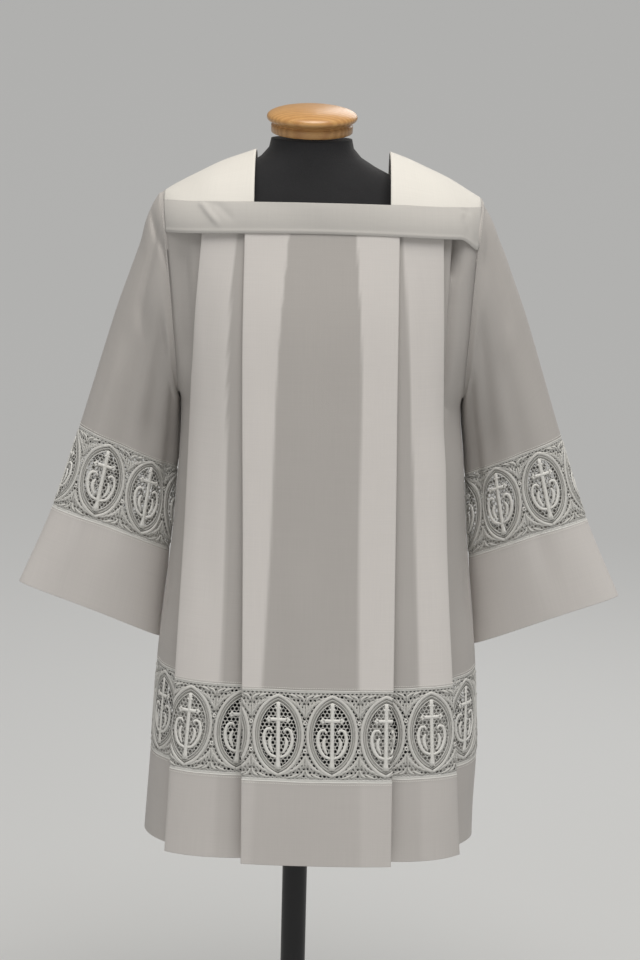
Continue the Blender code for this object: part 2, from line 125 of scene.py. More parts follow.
# %% Sizes of the sleeves
SleeveRing = namedtuple("SleeveRing", "out_x out_y out_z in_x in_y in_z half_depth power")
SLEEVE_RINGS = (
    SleeveRing(0.2355, 0.000, 1.4010, 0.1985, 0.010, 1.142, 0.0780, 2.2),
    SleeveRing(0.2625, 0.000, 1.3230, 0.2005, 0.016, 1.122, 0.0710, 2.2),
    SleeveRing(0.2920, -0.002, 1.2300, 0.2030, 0.022, 1.092, 0.0630, 2.1),
    SleeveRing(0.3320, -0.004, 1.1010, 0.2070, 0.028, 1.040, 0.0550, 2.0),
    SleeveRing(0.3715, -0.006, 0.9840, 0.2150, 0.032, 0.918, 0.0500, 1.9),
    SleeveRing(0.4180, -0.008, 0.8780, 0.2300, 0.034, 0.794, 0.0440, 1.75),
)
SLEEVE_LACE_RINGS = (4, 5)  # counted with the armhole as 0
SEAM_CLEAR = 0.0014
UNDERARM_CLEAR = 0.0020
FRONT_LIFT = 0.012  # how much higher the front of a cuff hangs than the back

# %% [markdown]
# ## A few curves
#
# Cloth has no corners between one height and the next, so every table above is read through a
# smooth curve. `glide` is the usual Hermite curve through a few values, and `ease` is the
# S-shaped step that starts and stops gently.


# %% Curves
def glide(x, xs, ys):
    """Smooth interpolation through the points (xs, ys), with xs rising. Flat past the ends."""
    xs, ys = np.asarray(xs, float), np.asarray(ys, float)
    slopes = np.gradient(ys, xs)
    x = np.clip(x, xs[0], xs[-1])
    i = np.clip(np.searchsorted(xs, x) - 1, 0, len(xs) - 2)
    step = xs[i + 1] - xs[i]
    s = (x - xs[i]) / step
    low = (1 + 2 * s) * (1 - s) ** 2 * ys[i] + s * (1 - s) ** 2 * step * slopes[i]
    high = s * s * (3 - 2 * s) * ys[i + 1] + s * s * (s - 1) * step * slopes[i + 1]
    return low + high


def ease(s):
    s = np.clip(s, 0.0, 1.0)
    return s * s * (3 - 2 * s)


def along_of(points):
    """The distance along a line of points, from its first one."""
    return np.concatenate([[0.0], np.cumsum(np.linalg.norm(np.diff(points, axis=0), axis=1))])


def spaced(points, count):
    """The line again, as count points evenly far apart."""
    along = along_of(points)
    wanted = np.linspace(0, along[-1], count)
    return np.stack([np.interp(wanted, along, column) for column in points.T], axis=1)


def hung(points):
    """The garment's own points moved to where they hang on the form."""
    points = np.array(points, float)
    x, z = points[..., 0].copy(), points[..., 2].copy()
    drooping = ease((z - DROOP_ENDS) / (YOKE_SEAM - DROOP_ENDS))
    points[..., 2] = z - DROOP * (x / BAND_HALF) ** 2 * drooping
    points[..., 0] = x + SIDE_SHIFT + LEAN * (YOKE_SEAM - z)
    return points


# %% [markdown]
# ## A surface to lay cloth on
#
# Cloth is easiest to make flat, like the cutter does, and then to hang. A `Surface` knows both
# sides of that: its rows of points say where the cloth hangs, and `along` says how far across the
# flat cloth each point is. `place` takes flat places and gives hanging ones, so that the plain
# cloth, the lace and the stitches all follow the same folds. `lift` is a height above the cloth.


# %% The Surface class
NEAR = 0.0006  # how far to each side the cloth is read, to find which way it faces
SPREAD_FROM, SPREAD_OVER = 0.85, 0.15  # shares of half the length: where spreading starts, and its run


class Surface:
    def __init__(self, levels, rows, along, double=None):
        self.levels = np.asarray(levels, float)
        self.rows = np.asarray(rows, float)
        self.along = np.asarray(along, float)
        self.double = np.zeros(self.along.shape) if double is None else double

    def at(self, u, v):
        """The hanging points of the flat places (u across, v up)."""
        i = np.clip(np.searchsorted(self.levels, v) - 1, 0, len(self.levels) - 2)
        share = (v - self.levels[i]) / (self.levels[i + 1] - self.levels[i])
        columns = np.arange(self.rows.shape[1])
        found = np.empty((len(u), 3))
        for row in np.unique(i):
            here = i == row
            t = share[here]
            low = np.interp(u[here], self.along[row], columns)
            high = np.interp(u[here], self.along[row + 1], columns)
            column = low + (high - low) * t
            for axis in range(3):
                below = np.interp(column, columns, self.rows[row, :, axis])
                above = np.interp(column, columns, self.rows[row + 1, :, axis])
                found[here, axis] = below + (above - below) * t
        return found

    def place(self, u, v, lift):
        across = self.at(u + NEAR, v) - self.at(u - NEAR, v)
        up = self.at(u, v + NEAR) - self.at(u, v - NEAR)
        outward = np.cross(across, up)
        outward /= np.maximum(np.linalg.norm(outward, axis=1), 1e-12)[:, None]
        return self.at(u, v) + outward * np.reshape(lift, (-1, 1))

    def reach(self, u, v, half):
        """Spread flat places near both ends, so that half comes to this cloth's own side edge."""
        low = -np.interp(v, self.levels, self.along[:, 0])
        high = np.interp(v, self.levels, self.along[:, -1])
        edge = np.where(u < 0, low, high)
        spread = ease((np.abs(u) / half - SPREAD_FROM) / SPREAD_OVER)
        return u * (1 + (edge / half - 1) * spread)

    def own_grid(self, up):
        """Flat places of this surface's own columns at the levels up, and the share of the paler colour
        that each is painted, as painted light and shade.
        """
        columns = range(self.rows.shape[1])
        across = np.stack([np.interp(up, self.levels, self.along[:, c]) for c in columns], axis=1)
        double = np.stack([np.interp(up, self.levels, self.double[:, c]) for c in columns], axis=1)
        return across, np.repeat(np.asarray(up)[:, None], across.shape[1], axis=1), double


# %% [markdown]
# ## The pleated panels
#
# Seen from above, half a panel is a zigzag: out to the first crease, back underneath, out to the
# second crease, back again, and then out to the side. Each turn is a small half circle. Soft
# folds are listed: a row says where a fold starts and ends, how wide it is, and how deep
# it sinks, and every layer moves with it so that they never cut through each other.

# %% Soft folds of the panels
SoftFold = namedtuple("SoftFold", "top_x top_z foot_x foot_z width depth")
FRONT_SOFT_FOLDS = (
    SoftFold(-0.192, 1.384, -0.190, 1.180, 0.010, 0.0070),
    SoftFold(0.185, 1.400, 0.184, 1.330, 0.0045, 0.0150),
    SoftFold(0.184, 1.390, 0.176, 1.060, 0.0036, 0.0080),
    SoftFold(0.198, 1.386, 0.190, 1.180, 0.0070, -0.0025),
    SoftFold(-0.062, 1.300, -0.058, 0.560, 0.026, 0.0022),
    SoftFold(0.020, 1.250, 0.008, 0.700, 0.034, 0.0014),
    SoftFold(0.071, 1.330, 0.060, 0.520, 0.022, 0.0020),
    SoftFold(-0.150, 1.340, -0.160, 0.800, 0.018, 0.0022),
    SoftFold(0.136, 1.360, 0.146, 0.620, 0.018, 0.0026),
    SoftFold(-0.214, 1.080, -0.222, 0.540, 0.010, 0.0050),
    SoftFold(0.206, 1.060, 0.208, 0.560, 0.010, 0.0055),
    SoftFold(-0.020, 0.960, -0.026, 0.500, 0.024, -0.0015),
    SoftFold(0.122, 0.900, 0.128, 0.500, 0.014, -0.0018),
)
BACK_SOFT_FOLDS = (
    SoftFold(-0.190, 1.384, -0.186, 1.170, 0.016, 0.0070),
    SoftFold(0.192, 1.384, 0.186, 1.190, 0.015, 0.0070),
    SoftFold(-0.052, 1.320, -0.064, 0.600, 0.026, 0.0026),
    SoftFold(0.034, 1.300, 0.048, 0.540, 0.030, 0.0022),
    SoftFold(0.150, 1.340, 0.160, 0.700, 0.018, 0.0024),
    SoftFold(-0.146, 1.300, -0.166, 0.560, 0.018, 0.0020),
    SoftFold(-0.214, 1.060, -0.222, 0.540, 0.010, 0.0050),
    SoftFold(0.204, 1.080, 0.210, 0.560, 0.010, 0.0050),
)


FADE_IN, FADE_OUT = 0.18, 0.25  # the shares of a fold's length over which it starts and ends


def sink(x, z, folds):
    """How far soft folds push the cloth inwards at a distance from the middle and a height."""
    total = np.zeros(np.shape(x))
    for fold in folds:
        down = (fold.top_z - z) / (fold.top_z - fold.foot_z)
        line = fold.top_x + (fold.foot_x - fold.top_x) * down
        fade = ease(down / FADE_IN) * ease((1 - down) / FADE_OUT)
        total = total + fold.depth * fade * np.exp(-(((x - line) / fold.width) ** 2))
    return total


# %% The outline and the zigzag of half a panel
SIDE_BULGE = {-1: 0.0, 1: 0.0045}  # how far each side billows out, between the underarm and the hem
BILLOW_TOP, BILLOW_TOP_FADE = 1.14, 0.08  # where it starts, and over what height it grows
BILLOW_FOOT, BILLOW_FOOT_FADE = 0.56, 0.12  # where it ends, and over what height it dies away
BILLOW_POWER = 4  # how quickly it dies away from the side towards the middle
ARMHOLE_POWER = 2.6  # of the superellipse that an armhole follows
SEAM_HOLD = 0.012  # how near to the side seam or the armhole the soft folds die away
BLUR, BLUR_BELOW = 0.0015, 0.010  # how blurred the edge of a double layer is, and how fast that grows
RUN_STEPS = (30, 5, 30, 6, 44)  # strips of cloth between the folds
TURN_STEPS = 6


def ring_value(height, column):
    rings = BODY_RINGS[::-1]
    return float(glide(height, [r.height for r in rings], [getattr(r, column) for r in rings]))


def side_billow(height, hand):
    below_top = ease((BILLOW_TOP - height) / BILLOW_TOP_FADE)
    above_foot = ease((height - BILLOW_FOOT) / BILLOW_FOOT_FADE)
    return SIDE_BULGE[hand] * below_top * above_foot


def quarter_outline(height, facing, hand):
    half_width = ring_value(height, "left" if hand > 0 else "right")
    deep = ring_value(height, "front" if facing < 0 else "back")
    angle = np.linspace(0, math.pi / 2, 241)
    x = half_width * np.sin(angle) ** (2 / OUTLINE_POWER)
    y = facing * deep * np.cos(angle) ** (2 / OUTLINE_POWER)
    return np.stack([x, y], axis=1)


def yoke_foot(x, facing):
    half_width = ring_value(YOKE_SEAM, "left")
    deep = ring_value(YOKE_SEAM, "front" if facing < 0 else "back")
    share = np.clip(np.abs(x) / half_width, 0, 1)
    return facing * deep * (1 - share**OUTLINE_POWER) ** (1 / OUTLINE_POWER)


def armhole_depth(height, facing):
    at_yoke = abs(yoke_foot(BAND_HALF, facing))
    down = (YOKE_SEAM - height) / (YOKE_SEAM - UNDERARM)
    return at_yoke * max(0.0, 1 - max(0.0, down) ** ARMHOLE_POWER) ** (1 / ARMHOLE_POWER)


def fold_value(values, height):
    return float(glide(height, FOLD_HEIGHTS[::-1], values[::-1]))


def pleat_line(folds, height, to_along, end):
    """Half a panel's zigzag, as (distance along the outline, depth), and the run of each point."""
    points, runs = [np.array([[0.0, 0.0]])], [0]
    start, way = np.array([0.0, 0.0]), 1
    for run, (fold, steps) in enumerate(zip(folds, RUN_STEPS)):
        radius = fold_value(fold.radius, height)
        depth = fold_value(fold.depth, height)
        stop = np.array([to_along(fold_value(fold.across, height)) - way * radius, depth])
        points.append(start + np.linspace(0, 1, steps + 1)[1:, None] * (stop - start))
        turn = np.linspace(0, math.pi, TURN_STEPS + 1)[1:]
        bulge = np.stack([way * np.sin(turn), 1 - np.cos(turn)], axis=1)
        points.append(stop + radius * bulge)
        runs += [run] * (steps + TURN_STEPS)
        start, way = points[-1][-1], -way
    crease = to_along(fold_value(folds[2].across, height))
    along = np.linspace(start[0], end, RUN_STEPS[-1] + 1)[1:]
    depth = start[1] * (1 - ease((along - crease) / max(end - crease, 1e-6)))
    points.append(np.stack([along, depth], axis=1))
    return np.concatenate(points), np.array(runs + [4] * RUN_STEPS[-1])


# %% Where the cloth lies double, which sets where it is painted paler: painted see-through shade
def double_of(x, runs, folds, height):
    """1 where more cloth lies behind the cloth that shows, and 0 where it is single. Single cloth is
    painted darker: painted see-through shade.
    """
    soft = BLUR + BLUR_BELOW * (YOKE_SEAM - height)
    first = ease((x - fold_value(folds[1].across, height)) / soft + 0.5)
    second = ease((x - fold_value(folds[3].across, height)) / soft + 0.5)
    return np.select([runs == 0, runs == 2, runs == 4], [first, second, 0 * x], 1.0)


# %% A row of a panel, and the whole surface
def half_panel_row(height, facing, hand, soft_folds):
    folds = FOLDS["back" if facing > 0 else "front_left" if hand > 0 else "front_right"]
    outline = quarter_outline(height, facing, hand)
    along = along_of(outline)
    tangent = np.gradient(outline, axis=0)
    tangent /= np.linalg.norm(tangent, axis=1)[:, None]
    inward = -facing * np.stack([-tangent[:, 1], tangent[:, 0]], axis=1)
    end = along[-1]
    if height > UNDERARM:
        end = np.interp(-armhole_depth(height, facing), -np.abs(outline[:, 1]), along)
    line, runs = pleat_line(folds, height, lambda x: np.interp(x, outline[:, 0], along), end)

    def at(column, source):
        return np.interp(line[:, 0], along, source[:, column])

    base = np.stack([at(0, outline), at(1, outline)], axis=1)
    into = np.stack([at(0, inward), at(1, inward)], axis=1)
    held = ease((end - line[:, 0]) / SEAM_HOLD)
    deeper = line[:, 1] + held * sink(hand * base[:, 0], height, soft_folds)
    plan = base + into * deeper[:, None]
    plan[:, 0] += side_billow(height, hand) * (base[:, 0] / outline[-1, 0]) ** BILLOW_POWER
    row = np.column_stack([plan, np.full(len(plan), height)]) * [hand, 1, 1]
    return row, double_of(base[:, 0], runs, folds, height)


def panel_surface(facing):
    levels = np.concatenate(
        [np.linspace(HEM, UNDERARM, 96), np.linspace(UNDERARM, YOKE_SEAM, 48)[1:]]
    )
    soft_folds = FRONT_SOFT_FOLDS if facing < 0 else BACK_SOFT_FOLDS
    rows, along, double = [], [], []
    for height in levels:
        halves = [half_panel_row(height, facing, hand, soft_folds) for hand in (facing, -facing)]
        (first, first_double), (second, second_double) = halves
        row = np.concatenate([first[::-1], second[1:]])
        rows.append(row)
        distance = along_of(row)
        along.append(distance - distance[len(first) - 1])
        double.append(np.concatenate([first_double[::-1], second_double[1:]]))
    return Surface(levels, hung(rows), along, np.array(double))


front = panel_surface(-1)
back = panel_surface(1)
FRONT_WIDTH = float(np.ptp(front.along[0]))
BACK_WIDTH = float(np.ptp(back.along[0]))
print(f"the hem is {FRONT_WIDTH:.3f} m of cloth in front and {BACK_WIDTH:.3f} m behind")


# %% [markdown]
# ## The yoke and the sleeves as surfaces
#
# The yoke rises from the seam and rolls over the shoulder. A sleeve is a loft: closed sections
# from the armhole to the cuff, each a superellipse between its outer and its inner end.


# %% The yoke
def ridge(x):
    slope = (RIDGE_AT_SLEEVE - RIDGE_AT_NECK) / (SHOULDER_HALF - NECK_HALF)
    share = np.clip((np.abs(x) - NECK_HALF) / (SHOULDER_HALF - NECK_HALF), 0, 1)
    return RIDGE_AT_NECK + slope * (np.abs(x) - NECK_HALF) + RIDGE_BOW * np.sin(math.pi * share)


def yoke_point(x, height, facing):
    rise = np.clip((height - YOKE_SEAM) / (ridge(x) - YOKE_SEAM), 0, 1)
    return np.stack([x, yoke_foot(x, facing) * np.sqrt(1 - rise**2), height + 0 * x], axis=-1)


def yoke_end(height):
    rise = (height - YOKE_SEAM) / (RIDGE_AT_SLEEVE - YOKE_SEAM)
    return BAND_HALF + (SHOULDER_HALF - BAND_HALF) * np.clip(rise, 0, 1)


def centred(rows):
    """How far along its row each point is, counted from the row's middle."""
    along = np.array([along_of(row) for row in rows])
    return along - along[:, -1:] / 2


def band_surface(facing):
    levels = np.linspace(YOKE_SEAM, YOKE_SEAM + BAND, 12)
    rows = []
    for height in levels:
        end = yoke_end(height)
        rows.append(yoke_point(np.linspace(-end, end, 201)[::-facing], height, facing))
    rows = hung(rows)
    return Surface(levels - YOKE_SEAM, rows, centred(rows))


STRAP_FOOT, STRAP_RISE = 0.85, 0.15  # a strap's share of its flare at the band, and the gain above


def strap_surface(hand):
    """The strap's v runs from the front band over the shoulder to the back band."""
    across = np.linspace(0, 1, 41)
    rows = []
    for facing, shares in ((-1, np.linspace(0, 1, 20)), (1, np.linspace(1, 0, 20)[1:])):
        for share in shares:
            end = BAND_HALF + (SHOULDER_HALF - BAND_HALF) * (STRAP_FOOT + STRAP_RISE * share)
            x = NECK_HALF + (end - NECK_HALF) * across
            lowest = np.arcsin(BAND / (ridge(x) - YOKE_SEAM))
            rise = np.sin(lowest + (math.pi / 2 - lowest) * share)
            height = YOKE_SEAM + (ridge(x) - YOKE_SEAM) * rise
            row = yoke_point(x, height, facing) * [hand, 1, 1]
            rows.append(row if hand > 0 else row[::-1])
    rows = hung(rows)
    return Surface(along_of(rows[:, 20]), rows, centred(rows))


# %% The sleeves
SLEEVE_COLUMNS = 97
SEAM_UNDER = 0.0010  # how far the sleeve's seam line goes in under the panels
SEAM_LEVELS = 0.03  # and how far above the armhole it counts, in sections
SEAM_LAP = {-1: 0.007, 1: 0.002}  # how far the front of a sleeve rolls over its seam
ROWS_A_SECTION = 20
LIFT_FROM, LIFT_OVER = 2.6, 2.2  # where the front of a sleeve starts to hang higher, in sections
SLEEVE_FADE_IN, SLEEVE_FADE_OUT = 0.2, 0.25  # the shares of a fold over which it starts and ends
REST_CLEAR = 0.0022  # how near a sleeve's inner edge rests to the body's side, middle to middle
REST_WIDTH = 0.12  # how wide a part moves with that edge, as a share of the girth
CORDS_STAND = 0.0010  # how much farther out the lace rests, since its cords stand out
CORDS_FADE = 0.15  # and over how many sections that fades


def armhole_half(facing):
    top = np.linspace(math.pi / 2, 0, 25)[:-1]
    heights = YOKE_SEAM + (RIDGE_AT_SLEEVE - YOKE_SEAM) * np.sin(top)
    points = [yoke_point(np.array(yoke_end(z)), np.array(z), facing) for z in heights]
    points[0] = np.array([SHOULDER_HALF, 0.0, RIDGE_AT_SLEEVE])
    for height in np.linspace(YOKE_SEAM, UNDERARM, 60):
        outline = quarter_outline(height, facing, 1)
        depth = armhole_depth(height, facing)
        x = np.interp(-depth, -np.abs(outline[:, 1]), outline[:, 0])
        points.append(np.array([x, facing * depth, height]))
    return np.array(points)


def ring_half(ring, facing):
    outer = np.array([ring.out_x, ring.out_y, ring.out_z])
    inner = np.array([ring.in_x, ring.in_y, ring.in_z])
    angle = np.linspace(0, math.pi, 121)
    cosine, sine = np.cos(angle), np.sin(angle)
    cosine = np.sign(cosine) * np.abs(cosine) ** (2 / ring.power)
    sine = np.abs(sine) ** (2 / ring.power)
    middle, reach = (outer + inner) / 2, (outer - inner) / 2
    depth = np.array([0.0, facing * ring.half_depth, 0.0])
    return middle + cosine[:, None] * reach + sine[:, None] * depth


def whole_ring(half_of):
    """A closed section, down the front and up the back, with its first point repeated."""
    count = SLEEVE_COLUMNS // 2 + 1
    ahead, behind = spaced(half_of(-1), count), spaced(half_of(1), count)
    return np.concatenate([ahead, behind[::-1][1:]])


# %% [markdown]
# A sleeve has its own soft folds. Each row gives the place round the sleeve (0 is the outer edge,
# 0.25 the middle of the front, 0.5 the inner edge) and the place down it, counted in sections.

# %% Soft folds of the sleeves
SleeveFold = namedtuple("SleeveFold", "top_round top_at foot_round foot_at width depth")
SLEEVE_FOLDS = {
    -1: (
        SleeveFold(0.190, 0.05, 0.030, 1.00, 0.030, 0.0050),
        SleeveFold(0.010, 0.00, 0.000, 1.50, 0.075, -0.0060),
        SleeveFold(0.100, 0.40, 0.170, 2.40, 0.024, 0.0050),
        SleeveFold(0.300, 0.60, 0.330, 4.20, 0.050, 0.0075),
        SleeveFold(0.190, 1.40, 0.240, 5.60, 0.040, 0.0040),
        SleeveFold(0.400, 1.20, 0.440, 5.20, 0.030, 0.0060),
        SleeveFold(0.130, 2.60, 0.140, 6.20, 0.030, -0.0030),
        SleeveFold(0.700, 0.60, 0.680, 4.60, 0.050, 0.0070),
        SleeveFold(0.850, 1.00, 0.830, 5.40, 0.040, 0.0045),
    ),
    1: (
        SleeveFold(0.000, 0.00, 0.000, 1.60, 0.060, 0.0035),
        SleeveFold(0.120, 0.20, 0.150, 2.60, 0.030, 0.0040),
        SleeveFold(0.280, 0.50, 0.340, 4.40, 0.050, 0.0065),
        SleeveFold(0.380, 0.80, 0.420, 5.30, 0.030, 0.0065),
        SleeveFold(0.200, 2.00, 0.210, 6.10, 0.040, 0.0035),
        SleeveFold(0.720, 0.60, 0.690, 4.80, 0.050, 0.0070),
        SleeveFold(0.840, 1.20, 0.850, 5.60, 0.040, 0.0045),
    ),
}


def rest_on_side(rows, at, hand, round_it):
    """Move the inner edge of each row sideways until the row rests just clear of the body."""
    upper, lower = SLEEVE_LACE_RINGS
    below_upper = ease((at - upper + CORDS_FADE) / CORDS_FADE)
    above_lower = ease((lower - at + CORDS_FADE) / CORDS_FADE)
    heights = rows[..., 2]
    levels = np.linspace(heights.min(), heights.max(), 200)
    column = "left" if hand > 0 else "right"
    sides = np.array([ring_value(level, column) + side_billow(level, hand) for level in levels])
    room = (rows[..., 0] - np.interp(heights, levels, sides)).min(axis=1)
    room -= REST_CLEAR + CORDS_STAND * (below_upper * above_lower)
    move = np.clip(room, 0, None) * ease(at)
    rows[..., 0] -= move[:, None] * np.exp(-(((round_it - 0.5) / REST_WIDTH) ** 2))


def sleeve_surface(hand):
    """The whole sleeve. v is counted in sections from the cuff, so it rises towards the armhole.

    Its last row is the seam line on the body, so that the sleeve closes onto the panels.
    """
    armhole = whole_ring(armhole_half)
    in_front = np.sin(np.clip(np.linspace(0, 2, SLEEVE_COLUMNS), 0, 1) * math.pi)[:, None]
    seam_line = armhole - [SEAM_UNDER, 0, 0] - SEAM_LAP[hand] * in_front * [1.0, 0.30, 0]
    down = (RIDGE_AT_SLEEVE - armhole[:, 2]) / (RIDGE_AT_SLEEVE - UNDERARM)
    armhole[:, 0] += SEAM_CLEAR + UNDERARM_CLEAR * ease(down)
    rings = [whole_ring(lambda facing, ring=ring: ring_half(ring, facing)) for ring in SLEEVE_RINGS]
    sections = np.array([armhole] + rings)
    last = len(SLEEVE_RINGS)
    at = np.linspace(last, 0, ROWS_A_SECTION * last + 1)
    flat = sections.reshape(len(sections), -1)
    rows = np.stack([glide(at, np.arange(last + 1), column) for column in flat.T], axis=1)
    rows = rows.reshape(len(at), -1, 3)
    middle = rows[:, :-1].mean(axis=1, keepdims=True)
    out = rows - middle
    out /= np.linalg.norm(out, axis=2, keepdims=True)
    round_it = np.linspace(0, 1, SLEEVE_COLUMNS)[None, :]
    pushed = np.zeros(rows.shape[:2])
    for fold in SLEEVE_FOLDS[hand]:
        share = (at[:, None] - fold.top_at) / (fold.foot_at - fold.top_at)
        line = fold.top_round + (fold.foot_round - fold.top_round) * share
        fade = ease(share / SLEEVE_FADE_IN) * ease((1 - share) / SLEEVE_FADE_OUT)
        apart = (round_it - line + 0.5) % 1 - 0.5
        pushed += fold.depth * fade * np.exp(-((apart / fold.width) ** 2))
    rows -= out * pushed[..., None]
    rest_on_side(rows, at, hand, round_it)
    at_front = np.sin(np.clip(round_it * 2, 0, 1) * math.pi)
    rows[..., 2] += FRONT_LIFT * at_front * ease((at[:, None] - LIFT_FROM) / LIFT_OVER)
    rows = np.concatenate([rows, seam_line[None]])
    at = np.append(at, -SEAM_LEVELS)
    if hand > 0:
        rows = rows[:, ::-1]
    rows = hung(rows * [hand, 1, 1])
    girth = np.mean([along_of(row)[-1] for row in rows[: 2 * ROWS_A_SECTION]])
    return Surface(last - at, rows, np.repeat(round_it * girth, len(at), axis=0)), girth


sleeves = {hand: sleeve_surface(hand) for hand in (-1, 1)}
mean_girths = [round(girth, 3) for _, girth in sleeves.values()]
print("round its lace and cuff, each sleeve is on average", mean_girths, "m")

# %% [markdown]
# ## Finishes
#
# The plain weave is used by two materials, so it is a node group: two sets of threads at right
# angles, each a sine wave. They read the flat cloth's own coordinates, so that the weave turns
# with every fold. Slubs, which are slightly thicker threads, make it as uneven as real cloth.


# %% Node group helpers
def new_group(name, inputs, outputs):
    group = bpy.data.node_groups.new(name, "ShaderNodeTree")
    for label, kind, value in inputs:
        made = group.interface.new_socket(label, in_out="INPUT", socket_type=kind)
        if value is not None:
            made.default_value = value
    for label, kind in outputs:
        group.interface.new_socket(label, in_out="OUTPUT", socket_type=kind)
    entry = group.nodes.new("NodeGroupInput")
    leave = group.nodes.new("NodeGroupOutput")
    return group, entry.outputs, leave.inputs


def math_node(tree, operation, *values):
    node = tree.nodes.new("ShaderNodeMath")
    node.operation = operation
    for socket, value in zip(node.inputs, values):
        if isinstance(value, (int, float)):
            socket.default_value = value
        else:
            tree.links.new(value, socket)
    return node.outputs[0]


def noise_node(tree, vector, scale, detail=2.0, roughness=0.5):
    node = tree.nodes.new("ShaderNodeTexNoise")
    node.inputs["Scale"].default_value = scale
    node.inputs["Detail"].default_value = detail
    node.inputs["Roughness"].default_value = roughness
    tree.links.new(vector, node.inputs["Vector"])
    return node.outputs[0]


def stretched(tree, vector, x, y, z):
    node = tree.nodes.new("ShaderNodeVectorMath")
    node.operation = "MULTIPLY"
    tree.links.new(vector, node.inputs[0])
    node.inputs[1].default_value = (x, y, z)
    return node.outputs[0]


# %% The weave group
def make_weave_group():
    group, given, gives = new_group(
        "plain_weave",
        [("Flat", "NodeSocketVector", None), ("Threads per metre", "NodeSocketFloat", 1600.0)],
        [("Height", "NodeSocketFloat"), ("Slub", "NodeSocketFloat")],
    )
    apart = group.nodes.new("ShaderNodeSeparateXYZ")
    group.links.new(given["Flat"], apart.inputs[0])
    turn = math_node(group, "MULTIPLY", given["Threads per metre"], math.pi)
    warp = math_node(group, "SINE", math_node(group, "MULTIPLY", apart.outputs[0], turn))
    weft = math_node(group, "SINE", math_node(group, "MULTIPLY", apart.outputs[1], turn))
    crossing = math_node(group, "MULTIPLY", warp, weft)
    thick_warp = noise_node(group, stretched(group, given["Flat"], 900, 14, 1), 1.0, 3.0)
    thick_weft = noise_node(group, stretched(group, given["Flat"], 14, 900, 1), 1.0, 3.0)
    slub = math_node(group, "ADD", thick_warp, thick_weft)
    group.links.new(slub, gives["Slub"])
    group.links.new(math_node(group, "MULTIPLY_ADD", slub, 0.6, crossing), gives["Height"])
    return group


WEAVE = make_weave_group()


# %% Materials of cloth
def new_material(name, roughness, metallic=0.0):
    made = bpy.data.materials.new(name)
    made.use_nodes = True
    shader = made.node_tree.nodes["Principled BSDF"]
    shader.inputs["Roughness"].default_value = roughness
    shader.inputs["Metallic"].default_value = metallic
    return made, made.node_tree, shader


def mix_colours(tree, share, first, second):
    node = tree.nodes.new("ShaderNodeMix")
    node.data_type = "RGBA"
    for socket, value in (("Factor", share), ("A", first), ("B", second)):
        found = next(s for s in node.inputs if s.name == socket and s.enabled)
        if isinstance(value, tuple):
            found.default_value = (*value, 1.0)
        elif isinstance(value, (int, float)):
            found.default_value = value
        else:
            tree.links.new(value, found)
    return next(s for s in node.outputs if s.enabled)


def add_bump(tree, shader, height, strength, distance):
    bump = tree.nodes.new("ShaderNodeBump")
    bump.inputs["Strength"].default_value = strength
    bump.inputs["Distance"].default_value = distance
    tree.links.new(height, bump.inputs["Height"])
    tree.links.new(bump.outputs["Normal"], shader.inputs["Normal"])


def attribute(tree, name):
    node = tree.nodes.new("ShaderNodeAttribute")
    node.attribute_name = name
    return node.outputs["Fac"]


def flat_of(tree):
    node = tree.nodes.new("ShaderNodeUVMap")
    node.uv_map = "flat"
    return node.outputs["UV"]


def object_places(tree):
    return tree.nodes.new("ShaderNodeTexCoord").outputs["Object"]


def linen_material(name, single, double, threads=1600.0):
    made, tree, shader = new_material(name, 0.88)
    weave = tree.nodes.new("ShaderNodeGroup")
    weave.node_tree = WEAVE
    tree.links.new(flat_of(tree), weave.inputs["Flat"])
    weave.inputs["Threads per metre"].default_value = threads
    # Painted see-through shade: single cloth is painted the darker colour, as if dark showed through it,
    # and cloth with more behind it is painted paler.
    base = mix_colours(tree, attribute(tree, "double"), single, double)
    darker = mix_colours(tree, 0.08, base, (0.0, 0.0, 0.0))
    shade = math_node(tree, "MULTIPLY_ADD", weave.outputs["Slub"], 0.9, -0.62)
    tree.links.new(mix_colours(tree, shade, base, darker), shader.inputs["Base Color"])
    shader.inputs["Sheen Weight"].default_value = 0.12
    shader.inputs["Sheen Roughness"].default_value = 0.5
    shader.inputs["Specular IOR Level"].default_value = 0.25
    add_bump(tree, shader, weave.outputs["Height"], 0.35, 0.00012)
    return made


def lace_material():
    """Thread with slanting satin stitches across it, which wander a little, and with painted shade on
    deep threads and in the stitches' grooves.
    """
    made, tree, shader = new_material("lace_thread", 0.8)
    thread = tree.nodes.new("ShaderNodeAttribute")
    thread.attribute_name = "thread"
    apart = tree.nodes.new("ShaderNodeSeparateXYZ")
    tree.links.new(thread.outputs["Vector"], apart.inputs[0])
    slant = math_node(tree, "MULTIPLY_ADD", apart.outputs[0], 0.45, apart.outputs[1])
    wander = noise_node(tree, thread.outputs["Vector"], 220.0, 2.0)
    moved = math_node(tree, "MULTIPLY_ADD", wander, 0.0012, slant)
    stitch = math_node(tree, "SINE", math_node(tree, "MULTIPLY", moved, 1300 * 2 * math.pi))
    # Painted shade: the lower a thread's tone, the nearer to dark grey it is painted, so the threads that
    # lie deep look shaded.
    base = mix_colours(tree, attribute(tree, "painted_shade_tone"), (0.24, 0.235, 0.215), (0.93, 0.915, 0.87))
    # Painted shade in the grooves between the satin stitches.
    stitch_groove_shade = math_node(tree, "MULTIPLY_ADD", stitch, -0.06, 0.06)
    tree.links.new(mix_colours(tree, stitch_groove_shade, base, (0.2, 0.19, 0.17)), shader.inputs["Base Color"])
    shader.inputs["Sheen Weight"].default_value = 0.15
    shader.inputs["Specular IOR Level"].default_value = 0.3
    add_bump(tree, shader, stitch, 0.5, 0.0002)
    return made


